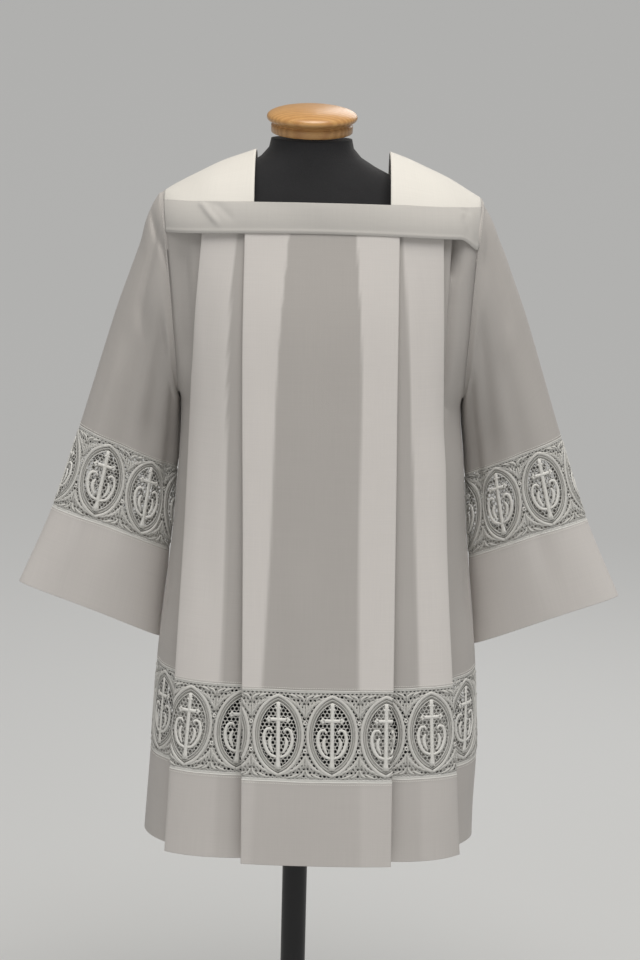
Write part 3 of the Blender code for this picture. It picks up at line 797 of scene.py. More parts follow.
# The darker colour is painted see-through shade on single cloth; the paler one is for cloth that lies
# double.
linen = linen_material("white_cloth", (0.54, 0.51, 0.483), (0.79, 0.75, 0.717))
# A brighter copy of the cloth for the yoke: painted light from above. The straps take its paler colour,
# and the upright bands its darker one, which is painted shade.
lit_yoke_linen = linen_material("white_cloth_yoke_painted_light", (0.61, 0.587, 0.556), (0.83, 0.80, 0.745))
lace_thread = lace_material()


# %% [markdown]
# ## Making a sheet of cloth
#
# A sheet starts as `create_grid`. Its vertices get their flat places first, which also become
# its UV map, and then `Surface.place` hangs them. A Solidify modifier gives the thickness.


# %% Sheets
def hang(mesh, surface, flat):
    """Writes the flat places as a UV map, and moves the mesh onto the surface."""
    corners = np.zeros(len(mesh.loops), int)
    mesh.loops.foreach_get("vertex_index", corners)
    layer = mesh.uv_layers.new(name="flat")
    layer.uv.foreach_set("vector", flat[corners, :2].ravel())
    points = surface.place(flat[:, 0], flat[:, 1], flat[:, 2])
    mesh.vertices.foreach_set("co", points.ravel())
    mesh.update()


def add_piece(name, mesh, finish):
    mesh.materials.append(finish)
    piece = bpy.data.objects.new(name, mesh)
    bpy.context.scene.collection.objects.link(piece)
    return piece


def thicken(piece, thickness):
    wall = piece.modifiers.new("thickness", "SOLIDIFY")
    wall.thickness = thickness
    wall.offset = 0.0


def finished_mesh(name, bm):
    mesh = bpy.data.meshes.new(name)
    bm.to_mesh(mesh)
    bm.free()
    return mesh


def points_of(mesh):
    points = np.zeros(len(mesh.vertices) * 3)
    mesh.vertices.foreach_get("co", points)
    return points.reshape(-1, 3)


def sheet_mesh(name, rows, columns):
    bm = bmesh.new()
    bmesh.ops.create_grid(bm, x_segments=columns - 1, y_segments=rows - 1, size=0.5)
    return finished_mesh(name, bm)


def weld(mesh, distance=1e-6):
    bm = bmesh.new()
    bm.from_mesh(mesh)
    bmesh.ops.remove_doubles(bm, verts=bm.verts, dist=distance)
    bm.to_mesh(mesh)
    bm.free()


def edged(levels, near):
    """The levels with one more close to each end, so that shading doesn't run into the edge."""
    beside_first, beside_last = [levels[0] + near], [levels[-1] - near]
    return np.concatenate([levels[:1], beside_first, levels[1:-1], beside_last, levels[-1:]])


EDGE_NEAR = 0.0007  # how close the row beside an edge is


def cloth_piece(name, surface, up, finish, thickness, lift=None, tube=False, stretch=1.0):
    """A sheet over the surface's own columns, from up[0] to up[-1]."""
    near = EDGE_NEAR / stretch
    across, heights, double = surface.own_grid(edged(up, near))
    raised = np.zeros(across.shape) if lift is None else lift(across, heights)
    mesh = sheet_mesh(name, *across.shape)
    flat = np.stack([across, heights, raised], axis=-1).reshape(-1, 3)
    hang(mesh, surface, flat)
    if stretch != 1.0:
        uv = mesh.uv_layers["flat"].uv
        found = np.zeros(len(mesh.loops) * 2)
        uv.foreach_get("vector", found)
        uv.foreach_set("vector", (found.reshape(-1, 2) * [1.0, stretch]).ravel())
    # How pale each point is painted: painted light and shade, read by the material.
    mask = mesh.attributes.new("double", "FLOAT", "POINT")
    mask.data.foreach_set("value", double.ravel())
    if tube:
        weld(mesh)
    mesh.shade_smooth()
    piece = add_piece(name, mesh, finish)
    thicken(piece, thickness)
    return piece


# %% [markdown]
# ## The panels and the bands below the lace
#
# The panel stops where the lace starts, and a plain band goes on below it. They are cut from the
# same surface, so the folds run straight through.

# %% Panels and hem bands
CLOTH = 0.0011
# Painted see-through shade: the hem band is painted paler than the panel, and its pleats' underlays paler
# still.
HEM_PALE, PLEAT_PALE = 0.30, 0.22  # the hem band's turned cloth lets less dark through
pieces = {}
for side, surface in (("front", front), ("back", back)):
    up = np.linspace(LACE_TOP, YOKE_SEAM, 44)
    pieces[f"{side}_panel"] = cloth_piece(f"{side}_cloth", surface, up, linen, CLOTH)
    up = np.linspace(HEM, LACE_FOOT, 10)
    # Painted see-through shade on the hem band.
    surface.double = HEM_PALE + PLEAT_PALE * surface.double
    pieces[f"{side}_hem_band"] = cloth_piece(f"{side}_hem_cloth", surface, up, linen, CLOTH)

# %% The yoke bands and straps
# A crease of the band: its two flat ends (from the middle, and up), its width and its height.
BandCrease = namedtuple("BandCrease", "start_u start_v end_u end_v width rise")
BAND_CREASES = {
    "front": (
        BandCrease(-0.170, 0.044, -0.132, 0.006, 0.0036, 0.0026),
        BandCrease(-0.152, 0.046, -0.112, 0.012, 0.0050, -0.0012),
        BandCrease(0.186, 0.043, 0.214, 0.032, 0.0028, -0.0020),
        BandCrease(0.196, 0.030, 0.206, 0.004, 0.0050, -0.0014),
    ),
    "back": (BandCrease(0.120, 0.040, 0.150, 0.010, 0.0045, 0.0010),),
}
SAG_START, SAG_END, SAG = 0.188, 0.222, 0.014  # where the front band's end sags, and how far
YOKE_CLOTH, STRAP_CLOTH = 0.0016, 0.0020
BAND_RISE = 0.0010  # how far the band lies above its surface
BEAD_RISE, BEAD_AT, BEAD_WIDTH = 0.0007, 0.0032, 0.0022
BAND_SEWN = 0.004  # how near its upper edge the band lies flat, where the straps are sewn on


def band_lift(creases):
    """The band lies flat, with a bead along the folded lower edge and a few small creases."""

    def lift(across, heights):
        bead = BEAD_RISE * np.exp(-(((heights - BEAD_AT) / BEAD_WIDTH) ** 2))
        ripple = 0.0004 * np.sin(across * 46 + 1.3) * np.sin(across * 17 + heights * 60)
        total = BAND_RISE + bead + ripple
        for c in creases:
            way = np.array([c.end_u - c.start_u, c.end_v - c.start_v])
            long = np.linalg.norm(way)
            from_start = [across - c.start_u, heights - c.start_v]
            share = (from_start[0] * way[0] + from_start[1] * way[1]) / long**2
            aside = (from_start[0] * way[1] - from_start[1] * way[0]) / long
            fade = ease(share / 0.2 + 0.5) * ease((1 - share) / 0.4)
            total = total + c.rise * fade * np.exp(-((aside / c.width) ** 2))
        seamed = ease((BAND - heights) / BAND_SEWN)
        return BAND_RISE + (total - BAND_RISE) * seamed

    return lift


def strap_lift(across, heights):
    return 0.0006 + 0.0005 * np.sin(across * 90 + heights * 25) * np.sin(heights * 31 + 0.4)


BAND_LEVELS = np.concatenate([np.linspace(0, 0.008, 9), np.linspace(0.010, BAND, 13)])
# The bands keep the yoke's darker colour: painted shade on their upright faces.
for side, facing in (("front", -1), ("back", 1)):
    surface = band_surface(facing)
    if side == "front":
        low_down = np.clip(1 - surface.levels / BAND, 0, 1)[:, None] ** 1.5
        sagging = ease((surface.along - SAG_START) / (SAG_END - SAG_START))
        surface.rows[..., 2] -= SAG * sagging * low_down
    pieces[f"{side}_yoke_band"] = cloth_piece(
        f"{side}_yoke", surface, BAND_LEVELS, lit_yoke_linen, YOKE_CLOTH, band_lift(BAND_CREASES[side])
    )
straps = {}
for side, hand in (("left", 1), ("right", -1)):
    straps[side] = strap_surface(hand)
    # Painted light: the straps face up to the light, so they are painted the yoke's paler colour all
    # over.
    straps[side].double = np.ones(straps[side].along.shape)
    up = np.linspace(0, straps[side].levels[-1], 40)
    pieces[f"{side}_strap"] = cloth_piece(
        f"{side}_shoulder", straps[side], up, lit_yoke_linen, STRAP_CLOTH, strap_lift
    )

# %% The sleeves and cuffs
low, high = (len(SLEEVE_RINGS) - ring for ring in SLEEVE_LACE_RINGS)
SLEEVE_METRES = 0.118  # about how long a sleeve is between two of its sections
WELT, WELT_AT, WELT_WIDTH = 0.0009, 0.005, 0.0035
# Painted see-through shade: the cuffs are painted paler than the sleeves.
CUFF_PALE = 0.75  # a cuff is turned in double, and so lets less dark through


def armhole_welt(across, heights):
    """The seam allowances behind the armhole seam raise the sleeve a little."""
    away = (len(SLEEVE_RINGS) - heights) * SLEEVE_METRES
    return WELT * np.exp(-(((away - WELT_AT) / WELT_WIDTH) ** 2)) + 0 * across


for side, hand in (("left", 1), ("right", -1)):
    surface, girth = sleeves[hand]
    top = len(SLEEVE_RINGS)
    # Painted see-through shade: the sleeves take the darker colour, the cuffs the paler one.
    surface.double = np.where(surface.levels < high + 0.5, CUFF_PALE, 0.0)[:, None] + 0 * surface.along
    at_seam = [top - 0.008, top, top + SEAM_LEVELS]
    for part, up in (
        ("sleeve", np.append(np.linspace(low, top - 0.02, 56), at_seam)),
        ("cuff", np.linspace(0, high, 14)),
    ):
        pieces[f"{side}_{part}"] = cloth_piece(
            f"{side}_{part}_cloth", surface, up, linen, CLOTH, armhole_welt,
            tube=True, stretch=SLEEVE_METRES,
        )

# %% [markdown]
# ## The dress form and its stand
#
# The form is padded and covered in black jersey. Its sections are superellipses, bridged into a
# skin. The neck cap, the pole and the foot are turned or spun on a lathe, so each is one profile
# that is spun round its own axis. The real cap leans with the neck.

# %% The padded body
FormRing = namedtuple("FormRing", "height half_width front back power")
FORM_RINGS = (
    FormRing(0.620, 0.150, 0.094, 0.094, 2.3),
    FormRing(0.626, 0.160, 0.103, 0.103, 2.3),
    FormRing(0.640, 0.163, 0.106, 0.106, 2.3),
    FormRing(0.780, 0.164, 0.110, 0.112, 2.3),
    FormRing(0.900, 0.160, 0.107, 0.110, 2.3),
    FormRing(1.040, 0.142, 0.096, 0.088, 2.3),
    FormRing(1.160, 0.152, 0.108, 0.092, 2.4),
    FormRing(1.260, 0.163, 0.115, 0.098, 2.5),
    FormRing(1.340, 0.172, 0.109, 0.094, 2.5),
    FormRing(1.385, 0.174, 0.097, 0.087, 2.4),
    FormRing(1.415, 0.166, 0.082, 0.078, 2.3),
    FormRing(1.436, 0.142, 0.071, 0.069, 2.2),
    FormRing(1.455, 0.108, 0.064, 0.062, 2.1),
    FormRing(1.470, 0.079, 0.060, 0.058, 2.0),
    FormRing(1.484, 0.061, 0.057, 0.055, 2.0),
    FormRing(1.502, 0.055, 0.054, 0.054, 2.0),
)


def form_mesh():
    table = np.array(FORM_RINGS)
    heights = np.concatenate([table[:3, 0], np.linspace(0.652, table[-1, 0], 70)])
    bm = bmesh.new()
    loops = []
    for height in heights:
        wide, ahead, behind, power = (glide(height, table[:, 0], table[:, i]) for i in range(1, 5))
        ring = bmesh.ops.create_circle(bm, segments=96, radius=1.0)["verts"]
        for vertex in ring:
            x, y = vertex.co.x, vertex.co.y
            deep = ahead if y < 0 else behind
            vertex.co.x = math.copysign(abs(x) ** (2 / power) * wide, x)
            vertex.co.y = math.copysign(abs(y) ** (2 / power) * deep, y)
            vertex.co.z = height
        loops.append({edge for vertex in ring for edge in vertex.link_edges})
    for lower, upper in zip(loops, loops[1:]):
        bmesh.ops.bridge_loops(bm, edges=list(lower | upper))
    for ends in (loops[0], loops[-1]):
        bmesh.ops.contextual_create(bm, geom=list(ends))
    bmesh.ops.recalc_face_normals(bm, faces=bm.faces)
    mesh = finished_mesh("form_skin", bm)
    mesh.shade_smooth()
    mesh.set_sharp_from_angle(angle=math.radians(50))
    return mesh


# %% Turned pieces
def turned_mesh(name, profile, place, steps=96):
    """Spins (radius, height) points round Z, then moves the result with a matrix."""
    bm = bmesh.new()
    points = [bm.verts.new((radius, 0, height)) for radius, height in profile]
    edges = [bm.edges.new(pair) for pair in zip(points, points[1:])]
    bmesh.ops.spin(
        bm, geom=points + edges, cent=(0, 0, 0), axis=(0, 0, 1),
        angle=2 * math.pi, steps=steps, use_merge=True,
    )
    bmesh.ops.remove_doubles(bm, verts=bm.verts, dist=1e-6)
    bmesh.ops.recalc_face_normals(bm, faces=bm.faces)
    bmesh.ops.transform(bm, matrix=place, verts=bm.verts)
    mesh = finished_mesh(name, bm)
    mesh.shade_smooth()
    mesh.set_sharp_from_angle(angle=math.radians(35))
    return mesh


# %% Finishes of the form and its stand
def jersey_material():
    made, tree, shader = new_material("black_jersey", 0.92)
    where = object_places(tree)
    knit = noise_node(tree, stretched(tree, where, 900, 900, 420), 1.0, 2.0)
    cloud = noise_node(tree, where, 22.0, 3.0)
    both = math_node(tree, "MULTIPLY_ADD", knit, 0.5, math_node(tree, "MULTIPLY", cloud, 0.5))
    dyed = mix_colours(tree, both, (0.008, 0.008, 0.009), (0.026, 0.026, 0.029))
    tree.links.new(dyed, shader.inputs["Base Color"])
    shader.inputs["Sheen Weight"].default_value = 0.25
    shader.inputs["Sheen Roughness"].default_value = 0.4
    add_bump(tree, shader, knit, 0.5, 0.0006)
    return made


def wood_material():
    """Growth rings round a tilted axis, and short dark pores along the grain."""
    made, tree, shader = new_material("turned_wood", 0.36)
    where = object_places(tree)
    warp = noise_node(tree, stretched(tree, where, 14, 14, 5), 1.0, 3.0)
    rings = tree.nodes.new("ShaderNodeTexWave")
    rings.wave_type = "BANDS"
    rings.bands_direction = "Y"
    rings.inputs["Scale"].default_value = 46.0
    rings.inputs["Distortion"].default_value = 5.0
    rings.inputs["Detail"].default_value = 3.0
    tree.links.new(stretched(tree, where, 0.35, 1.0, 0.8), rings.inputs["Vector"])
    half_rings = math_node(tree, "MULTIPLY", rings.outputs["Fac"], 0.5)
    grain = math_node(tree, "MULTIPLY_ADD", warp, 0.5, half_rings)
    pores = noise_node(tree, stretched(tree, where, 60, 900, 900), 1.0, 2.0)
    light = mix_colours(tree, grain, (0.50, 0.235, 0.075), (0.74, 0.43, 0.165))
    pore_mask = math_node(tree, "MULTIPLY_ADD", pores, -3.2, 1.35)
    tree.links.new(
        mix_colours(tree, pore_mask, light, (0.30, 0.125, 0.04)), shader.inputs["Base Color"]
    )
    shader.inputs["Coat Weight"].default_value = 0.35
    shader.inputs["Coat Roughness"].default_value = 0.22
    add_bump(tree, shader, pores, 0.12, 0.0002)
    return made


def steel_material():
    made, tree, shader = new_material("black_steel", 0.42, 0.3)
    where = object_places(tree)
    grit = noise_node(tree, where, 1400.0, 2.0)
    cloud = noise_node(tree, where, 9.0, 3.0)
    tree.links.new(
        mix_colours(tree, cloud, (0.012, 0.012, 0.013), (0.032, 0.032, 0.034)),
        shader.inputs["Base Color"],
    )
    tree.links.new(
        math_node(tree, "MULTIPLY_ADD", cloud, 0.25, 0.30), shader.inputs["Roughness"]
    )
    add_bump(tree, shader, grit, 0.25, 0.0002)
    return made


# %% The form, the cap, and the stand
CAP_PROFILE = (
    (0.0, 0.0), (0.0534, 0.0), (0.0549, 0.0005), (0.0555, 0.0014), (0.0555, 0.0101),
    (0.0549, 0.0112), (0.0539, 0.0121), (0.0537, 0.0128), (0.0540, 0.0136), (0.0552, 0.0145),
    (0.0577, 0.0156), (0.0598, 0.0170), (0.0611, 0.0187), (0.0615, 0.0206), (0.0613, 0.0226),
    (0.0603, 0.0246), (0.0579, 0.0267), (0.0535, 0.0288), (0.0466, 0.0310), (0.0375, 0.0329),
    (0.0270, 0.0343), (0.0150, 0.0352), (0.0060, 0.0355), (0.0, 0.0356),
)
CAP_TILT = math.radians(7)
CAP_FOOT = 1.5040
POLE_RADIUS = 0.0175
FLANGE_FOOT = 0.0083
POLE_TOP = FORM_RINGS[0].height - 0.0003

form = add_piece("form_skin", form_mesh(), jersey_material())
tilt = Matrix.Translation((0, -0.002, CAP_FOOT + 0.0540 * math.sin(CAP_TILT)))
tilt = tilt @ Matrix.Rotation(CAP_TILT, 4, "X")
cap = add_piece(
    "wooden_cap", turned_mesh("wooden_cap", CAP_PROFILE, tilt), wood_material()
)
steel = steel_material()
upright = Matrix.Identity(4)
base_profile = (
    (0.0, 0.0), (0.198, 0.0), (0.1995, 0.0006), (0.200, 0.002), (0.200, 0.0052),
    (0.1991, 0.0072), (0.197, 0.0080), (0.0, 0.0080),
)
flange_profile = (
    (0.0, FLANGE_FOOT), (0.0412, FLANGE_FOOT), (0.0420, FLANGE_FOOT + 0.0008),
    (0.0420, 0.0136), (0.0412, 0.0143), (0.0262, 0.0200), (0.0246, 0.0222),
    (0.0238, 0.0372), (0.0230, 0.0383), (0.0, 0.0383),
)
pole_profile = ((0.0, 0.0386), (POLE_RADIUS, 0.0386), (POLE_RADIUS, POLE_TOP), (0.0, POLE_TOP))
stand = {}
for node, name, profile in (
    ("stand_base", "base_plate", base_profile),
    ("stand_flange", "pole_collar", flange_profile),
    ("stand_pole", "pole", pole_profile),
):
    stand[node] = add_piece(name, turned_mesh(name, profile, upright), steel)
print("the form has", len(form.data.polygons), "faces, the cap", len(cap.data.polygons))

# %% [markdown]
# ## The lace
#
# The insertion is machine-made chemical lace. A repeat is a pointed-oval medallion with a raised
# satin ring, a sunken tape, and an open net with a budded cross in a lily. Between the medallions
# are leaves on a closer net. One repeat is drawn flat, 75 mm long, with u along the band and v up
# it, in millimetres. It is set a little closer on the hem and sleeves, trimmed, and then hung.
#
# Each thread is a ribbon: a narrow `create_grid` that is bent along a path, and crowned so that
# it catches the light. A Solidify modifier gives it a back. Its tone attribute is painted shade:
# it tells the material which threads lie deep, and these are painted darker. `thread` holds the
# way along and across each ribbon, so that the satin stitches run across it.

# %% Ribbons
REPEAT = 75.0
LACE = 129.0
NET_FOOT, NET_TOP = 5.5, 124.5
MIDDLE = 65.2


def new_artwork():
    bm = bmesh.new()
    bm.verts.layers.float.new("painted_shade_tone")
    bm.verts.layers.float_vector.new("thread")
    return bm


# A ribbon's tone is painted shade: 1 paints none, and lower tones paint it darker.
def ribbon(bm, path, width, painted_shade_tone=1.0, lift=0.35, crown=0.7, strips=3):
    """A crowned ribbon along a path of flat points, in millimetres."""
    path = np.asarray(path, float)
    if np.allclose(path[0], path[-1]):
        ahead = np.roll(path[:-1], -1, axis=0) - np.roll(path[:-1], 1, axis=0)
        ahead = np.concatenate([ahead, ahead[:1]])
    else:
        ahead = np.gradient(path, axis=0)
    ahead /= np.linalg.norm(ahead, axis=1)[:, None]
    aside = np.stack([-ahead[:, 1], ahead[:, 0]], axis=1)
    width = np.broadcast_to(width, len(path))
    along = along_of(path)
    verts = bmesh.ops.create_grid(bm, x_segments=len(path) - 1, y_segments=strips, size=1)["verts"]
    tones, threads = bm.verts.layers.float["painted_shade_tone"], bm.verts.layers.float_vector["thread"]
    for number, vertex in enumerate(verts):
        row, column = divmod(number, len(path))
        across = 2 * row / strips - 1
        flat = path[column] + aside[column] * across * width[column] / 2
        vertex.co = (flat[0], flat[1], lift + crown * (1 - across**2) ** 0.7)
        vertex[tones] = painted_shade_tone
        vertex[threads] = (across * width[column] / 2 * MM, along[column] * MM, 0)
    return verts


def bend(points, count):
    """A smooth open path through a few given points."""
    points = np.asarray(points, float)
    at = np.concatenate([[0], np.cumsum(np.linalg.norm(np.diff(points, axis=0), axis=1))])
    wanted = np.linspace(0, at[-1], count)
    return np.stack([glide(wanted, at, points[:, axis]) for axis in (0, 1)], axis=1)


def leaf_width(widest, count, at=0.42, tip=0.25):
    """Widths along a leaf: narrow stalk, widest part, pointed tip."""
    share = np.linspace(0, 1, count)
    rise = np.where(share < at, share / at, (1 - share) / (1 - at))
    return tip + (widest - tip) * np.sin(rise * math.pi / 2) ** 0.9


# %% [markdown]
# The medallion's outline is part ellipse and part vesica, which is the lens between two circles.
# That gives the slightly pointed top and foot.


# %% The medallion
def oval(half_width, half_height, count, point=0.62):
    """A closed pointed oval round (0, MIDDLE)."""
    radius = (half_width**2 + half_height**2) / (2 * half_width)
    widest = math.asin(half_height / radius)
    share = np.linspace(-1, 1, count // 2 + 1)
    round_x, round_y = half_width * np.cos(share * math.pi / 2), half_height * np.sin(share * math.pi / 2)
    lens_x = radius * np.cos(share * widest) - (radius - half_width)
    lens_y = radius * np.sin(share * widest)
    x = (1 - point) * round_x + point * lens_x
    y = (1 - point) * round_y + point * lens_y
    right_side = np.stack([x, y], axis=1)
    left_side = right_side[::-1] * [-1, 1]
    return np.concatenate([right_side, left_side[1:]]) + [0, MIDDLE]


def add_medallion(bm):
    # Painted shade: each ring is painted by its tone, and the sunken tape darkest of all.
    ribbon(bm, oval(34.0, 55.2, 64), 4.4, 0.80, crown=1.0, strips=4)
    ribbon(bm, oval(29.8, 49.9, 56), 4.4, painted_shade_tone=0.30, lift=0.0, crown=0.0, strips=1)
    ribbon(bm, oval(30.3, 50.4, 56), 1.3, painted_shade_tone=0.60, lift=0.2, crown=0.4, strips=2)
    ribbon(bm, oval(26.9, 46.0, 56), 1.4, 0.78, lift=0.3, crown=0.6, strips=2)


def mirrored(path):
    return np.asarray(path, float) * [-1, 1]


def add_motif(bm):
    """A budded cross standing in a lily: two open petals, with a bud in each."""
    up = [0, MIDDLE]
    stem = np.stack([np.zeros(16), np.linspace(-47.5, 46, 16)], axis=1)
    stem_width = 5.6 + 4.6 * np.clip((-36 - stem[:, 1]) / 11, 0, 1) ** 1.5
    ribbon(bm, stem + up, stem_width, lift=0.5, crown=1.0)
    bar = np.stack([np.linspace(-11, 11, 9), np.full(9, 21.5)], axis=1)
    ribbon(bm, bar + up, 5.0, lift=0.55, crown=1.1)
    for bud_u, bud_v in ((-12.4, 21.5), (12.4, 21.5), (0, 36.5)):
        for turned in (-1, 0, 1):
            angle = math.atan2(bud_v - 21.5, bud_u) + turned * 1.25
            centre = np.array([bud_u, bud_v])
            tip = centre + 4.6 * np.array([math.cos(angle), math.sin(angle)])
            ribbon(bm, bend([centre, (centre + tip) / 2, tip], 6) + up,
                   leaf_width(4.4, 6), lift=0.6, crown=0.9, strips=2)
    petal = [(2.0, -31), (10.5, -27.5), (18.2, -15), (19.6, -2), (15.4, 8.0), (10.2, 8.6), (8.2, 4.0)]
    bud = [(6.4, -25), (10.6, -17), (11.6, -8), (9.0, -1.5)]
    for hand in (np.array, mirrored):
        ribbon(bm, hand(bend(petal, 22)) + up, leaf_width(5.0, 22, 0.4, 2.6), lift=0.5, crown=0.9)
        ribbon(bm, hand(bend(bud, 12)) + up, leaf_width(5.0, 12, 0.6, 1.4), lift=0.5, crown=0.9)


# %% The leaves between two medallions
# A leaf's stalk, bend and tip, from the middle line between two medallions, and its width.
Leaf = namedtuple("Leaf", "stalk_u stalk_v bend_u bend_v tip_u tip_v width")
TOP_LEAVES = (
    Leaf(0.6, 24.0, 2.2, 34.0, 1.2, 44.0, 4.0),
    Leaf(1.2, 30.0, 6.2, 37.0, 6.0, 46.5, 4.2),
    Leaf(2.4, 36.5, 9.6, 41.0, 12.5, 49.0, 4.4),
    Leaf(7.0, 41.0, 14.2, 44.5, 19.0, 50.5, 4.2),
    Leaf(13.0, 45.6, 20.0, 48.0, 26.0, 52.6, 3.8),
    Leaf(20.0, 50.0, 26.0, 51.6, 32.5, 54.0, 3.0),
    Leaf(1.0, 46.0, 4.0, 53.0, 12.0, 56.6, 3.6),
    Leaf(9.0, 52.0, 16.0, 55.4, 24.0, 57.6, 3.4),
)
FOOT_LEAVES = (
    Leaf(0.6, -27.0, 2.4, -36.0, 1.2, -45.5, 4.0),
    Leaf(1.2, -32.0, 6.0, -39.0, 6.0, -48.0, 4.2),
    Leaf(2.4, -38.0, 9.6, -42.5, 12.5, -50.0, 4.4),
    Leaf(7.0, -42.5, 14.0, -46.0, 19.0, -51.6, 4.2),
    Leaf(13.0, -46.8, 20.0, -49.2, 26.0, -53.2, 3.8),
    Leaf(20.0, -50.8, 26.0, -52.4, 32.5, -54.6, 3.0),
    Leaf(1.0, -47.0, 4.0, -54.0, 12.0, -57.6, 3.6),
    Leaf(9.0, -53.0, 16.0, -56.4, 24.0, -58.6, 3.4),
)
ROSETTES = (18.0, -21.0)


def add_leaves(bm):
    for leaf in TOP_LEAVES + FOOT_LEAVES:
        points = [leaf[0:2], leaf[2:4], leaf[4:6]]
        for hand in (np.array, mirrored):
            path = hand(bend(points, 9)) + [REPEAT / 2, MIDDLE]
            # Painted shade: the leaves lie lower than the motif and are painted a darker tone.
            ribbon(bm, path, leaf_width(leaf.width, 9), 0.70, lift=0.3, crown=0.9, strips=2)
    for centre in ROSETTES:
        ring = np.linspace(0, 2 * math.pi, 13)
        path = 2.1 * np.stack([np.cos(ring), np.sin(ring)], axis=1)
        path += [REPEAT / 2, MIDDLE + centre]
        ribbon(bm, path, 1.5, lift=0.3, crown=0.7, strips=2)


def add_headings(bm):
    """The dense edges, by which the lace is sewn to the cloth."""
    across = np.linspace(-REPEAT / 2, REPEAT / 2, 61)
    for low, high in ((0.0, NET_FOOT), (NET_TOP, LACE)):
        path = np.stack([across, np.full(61, (low + high) / 2)], axis=1)
        # Painted shade: the flat heading is painted a darker tone than the raised cords.
        ribbon(bm, path, high - low - 0.2, painted_shade_tone=0.80, lift=0.0, crown=0.15, strips=4)
        edge = low + 0.9 if low == 0 else high - 0.9
        path = np.stack([across, np.full(61, edge)], axis=1)
        ribbon(bm, path, 1.3, lift=0.25, crown=0.5, strips=2)


# %% [markdown]
# The net is a honeycomb. Each cell is a six-sided `create_circle`. `inset_individual` shrinks the
# cell into a frame of thread, and its middle is deleted. Cells behind the rings and under the
# cross would never be seen, so they are left out.

# %% The net
COLUMNS = 13
PITCH = REPEAT / COLUMNS
ROW_HEIGHT = PITCH * math.sqrt(3) / 2


def inside_oval(u, v, half_width, half_height):
    edge = oval(half_width, half_height, 64)
    side = edge[: len(edge) // 2 + 1]
    return abs(u) < np.interp(v, side[:, 1], side[:, 0], left=0, right=0)


def cell_kind(u, v):
    """open inside the medallion, closer beside it and beyond, none where a ring or the cross is."""
    if inside_oval(u, v, 26.0, 44.8):
        above = v - MIDDLE
        on_stem = abs(u) < 0.6 and above < 42
        on_bar = abs(above - 21.5) < 0.6 and abs(u) < 10
        return "none" if on_stem or on_bar else "open"
    for shift in (-REPEAT, 0, REPEAT):
        if inside_oval(u - shift, v, 33.6, 54.8):
            return "none"
    beside = any(inside_oval(u - shift, v, 41.5, 61.0) for shift in (-REPEAT, 0, REPEAT))
    return "beside" if beside else "close"


def net_artwork():
    bm = new_artwork()
    kinds = {"open": [], "beside": [], "close": []}
    rows = math.ceil((NET_TOP - NET_FOOT) / ROW_HEIGHT) + 1
    for row in range(rows):
        for column in range(COLUMNS):
            u = (column + 0.25 + 0.5 * (row % 2)) * PITCH - REPEAT / 2
            v = NET_FOOT - 1 + row * ROW_HEIGHT
            kind = cell_kind(u, v)
            if kind == "none":
                continue
            made = bmesh.ops.create_circle(bm, cap_ends=True, segments=6, radius=PITCH / math.sqrt(3))
            bmesh.ops.translate(bm, verts=made["verts"], vec=(u, v, 0))
            kinds[kind].append(made["verts"][0].link_faces[0])
    for kind, thread in (("open", 0.70), ("beside", 0.95), ("close", 1.3)):
        faces = kinds[kind]
        bmesh.ops.inset_individual(bm, faces=faces, thickness=thread, use_even_offset=True)
        bmesh.ops.delete(bm, geom=faces, context="FACES_ONLY")
    bmesh.ops.remove_doubles(bm, verts=bm.verts, dist=0.01)
    tones, threads = bm.verts.layers.float["painted_shade_tone"], bm.verts.layers.float_vector["thread"]
    for vertex in bm.verts:
        in_medallion = inside_oval(vertex.co.x, vertex.co.y, 29, 48)
        # Painted shade: the net lies deep and is painted a darker tone than the cords, a little lighter
        # inside the medallion.
        vertex[tones] = 0.60 if in_medallion else 0.54
        vertex[threads] = vertex.co * MM
    return bm


cords_bm = new_artwork()
add_medallion(cords_bm)
add_motif(cords_bm)
add_leaves(cords_bm)
add_headings(cords_bm)
cord_repeat = finished_mesh("cord_repeat", cords_bm)
net_repeat = finished_mesh("net_repeat", net_artwork())
print("one repeat has", len(net_repeat.polygons), "net faces,", len(cord_repeat.polygons), "cord faces")

# %% [markdown]
# ## Letting the lace in
#
# The repeat is copied along the band with the medallions where the folds cut them, and both ends
# are trimmed with `bisect_plane`. Only then is it hung, so it bends round every pleat.


# %% Hanging the lace
LaceLength = namedtuple("LaceLength", "start end phase")
NET_THICK, CORD_THICK = 0.0005, 0.0004


def length_of_lace(repeat, length, pitch):
    """Repeats of the flat lace between two places, with a medallion at the phase."""
    bm = bmesh.new()
    first = math.floor((length.start - length.phase) / pitch - 0.5)
    last = math.ceil((length.end - length.phase) / pitch + 0.5)
    for number in range(first, last + 1):
        before = len(bm.verts)
        bm.from_mesh(repeat)
        bm.verts.ensure_lookup_table()
        moved = bm.verts[before:]
        bmesh.ops.scale(bm, verts=moved, vec=(pitch / REPEAT, MM, MM))
        bmesh.ops.translate(bm, verts=moved, vec=(length.phase + number * pitch, 0, 0))
    for edge, way in ((length.start, -1), (length.end, 1)):
        everything = [*bm.verts, *bm.edges, *bm.faces]
        bmesh.ops.bisect_plane(
            bm, geom=everything, dist=1e-7, plane_co=(edge, 0, 0), plane_no=(way, 0, 0),
            clear_outer=True,
        )
    return bm


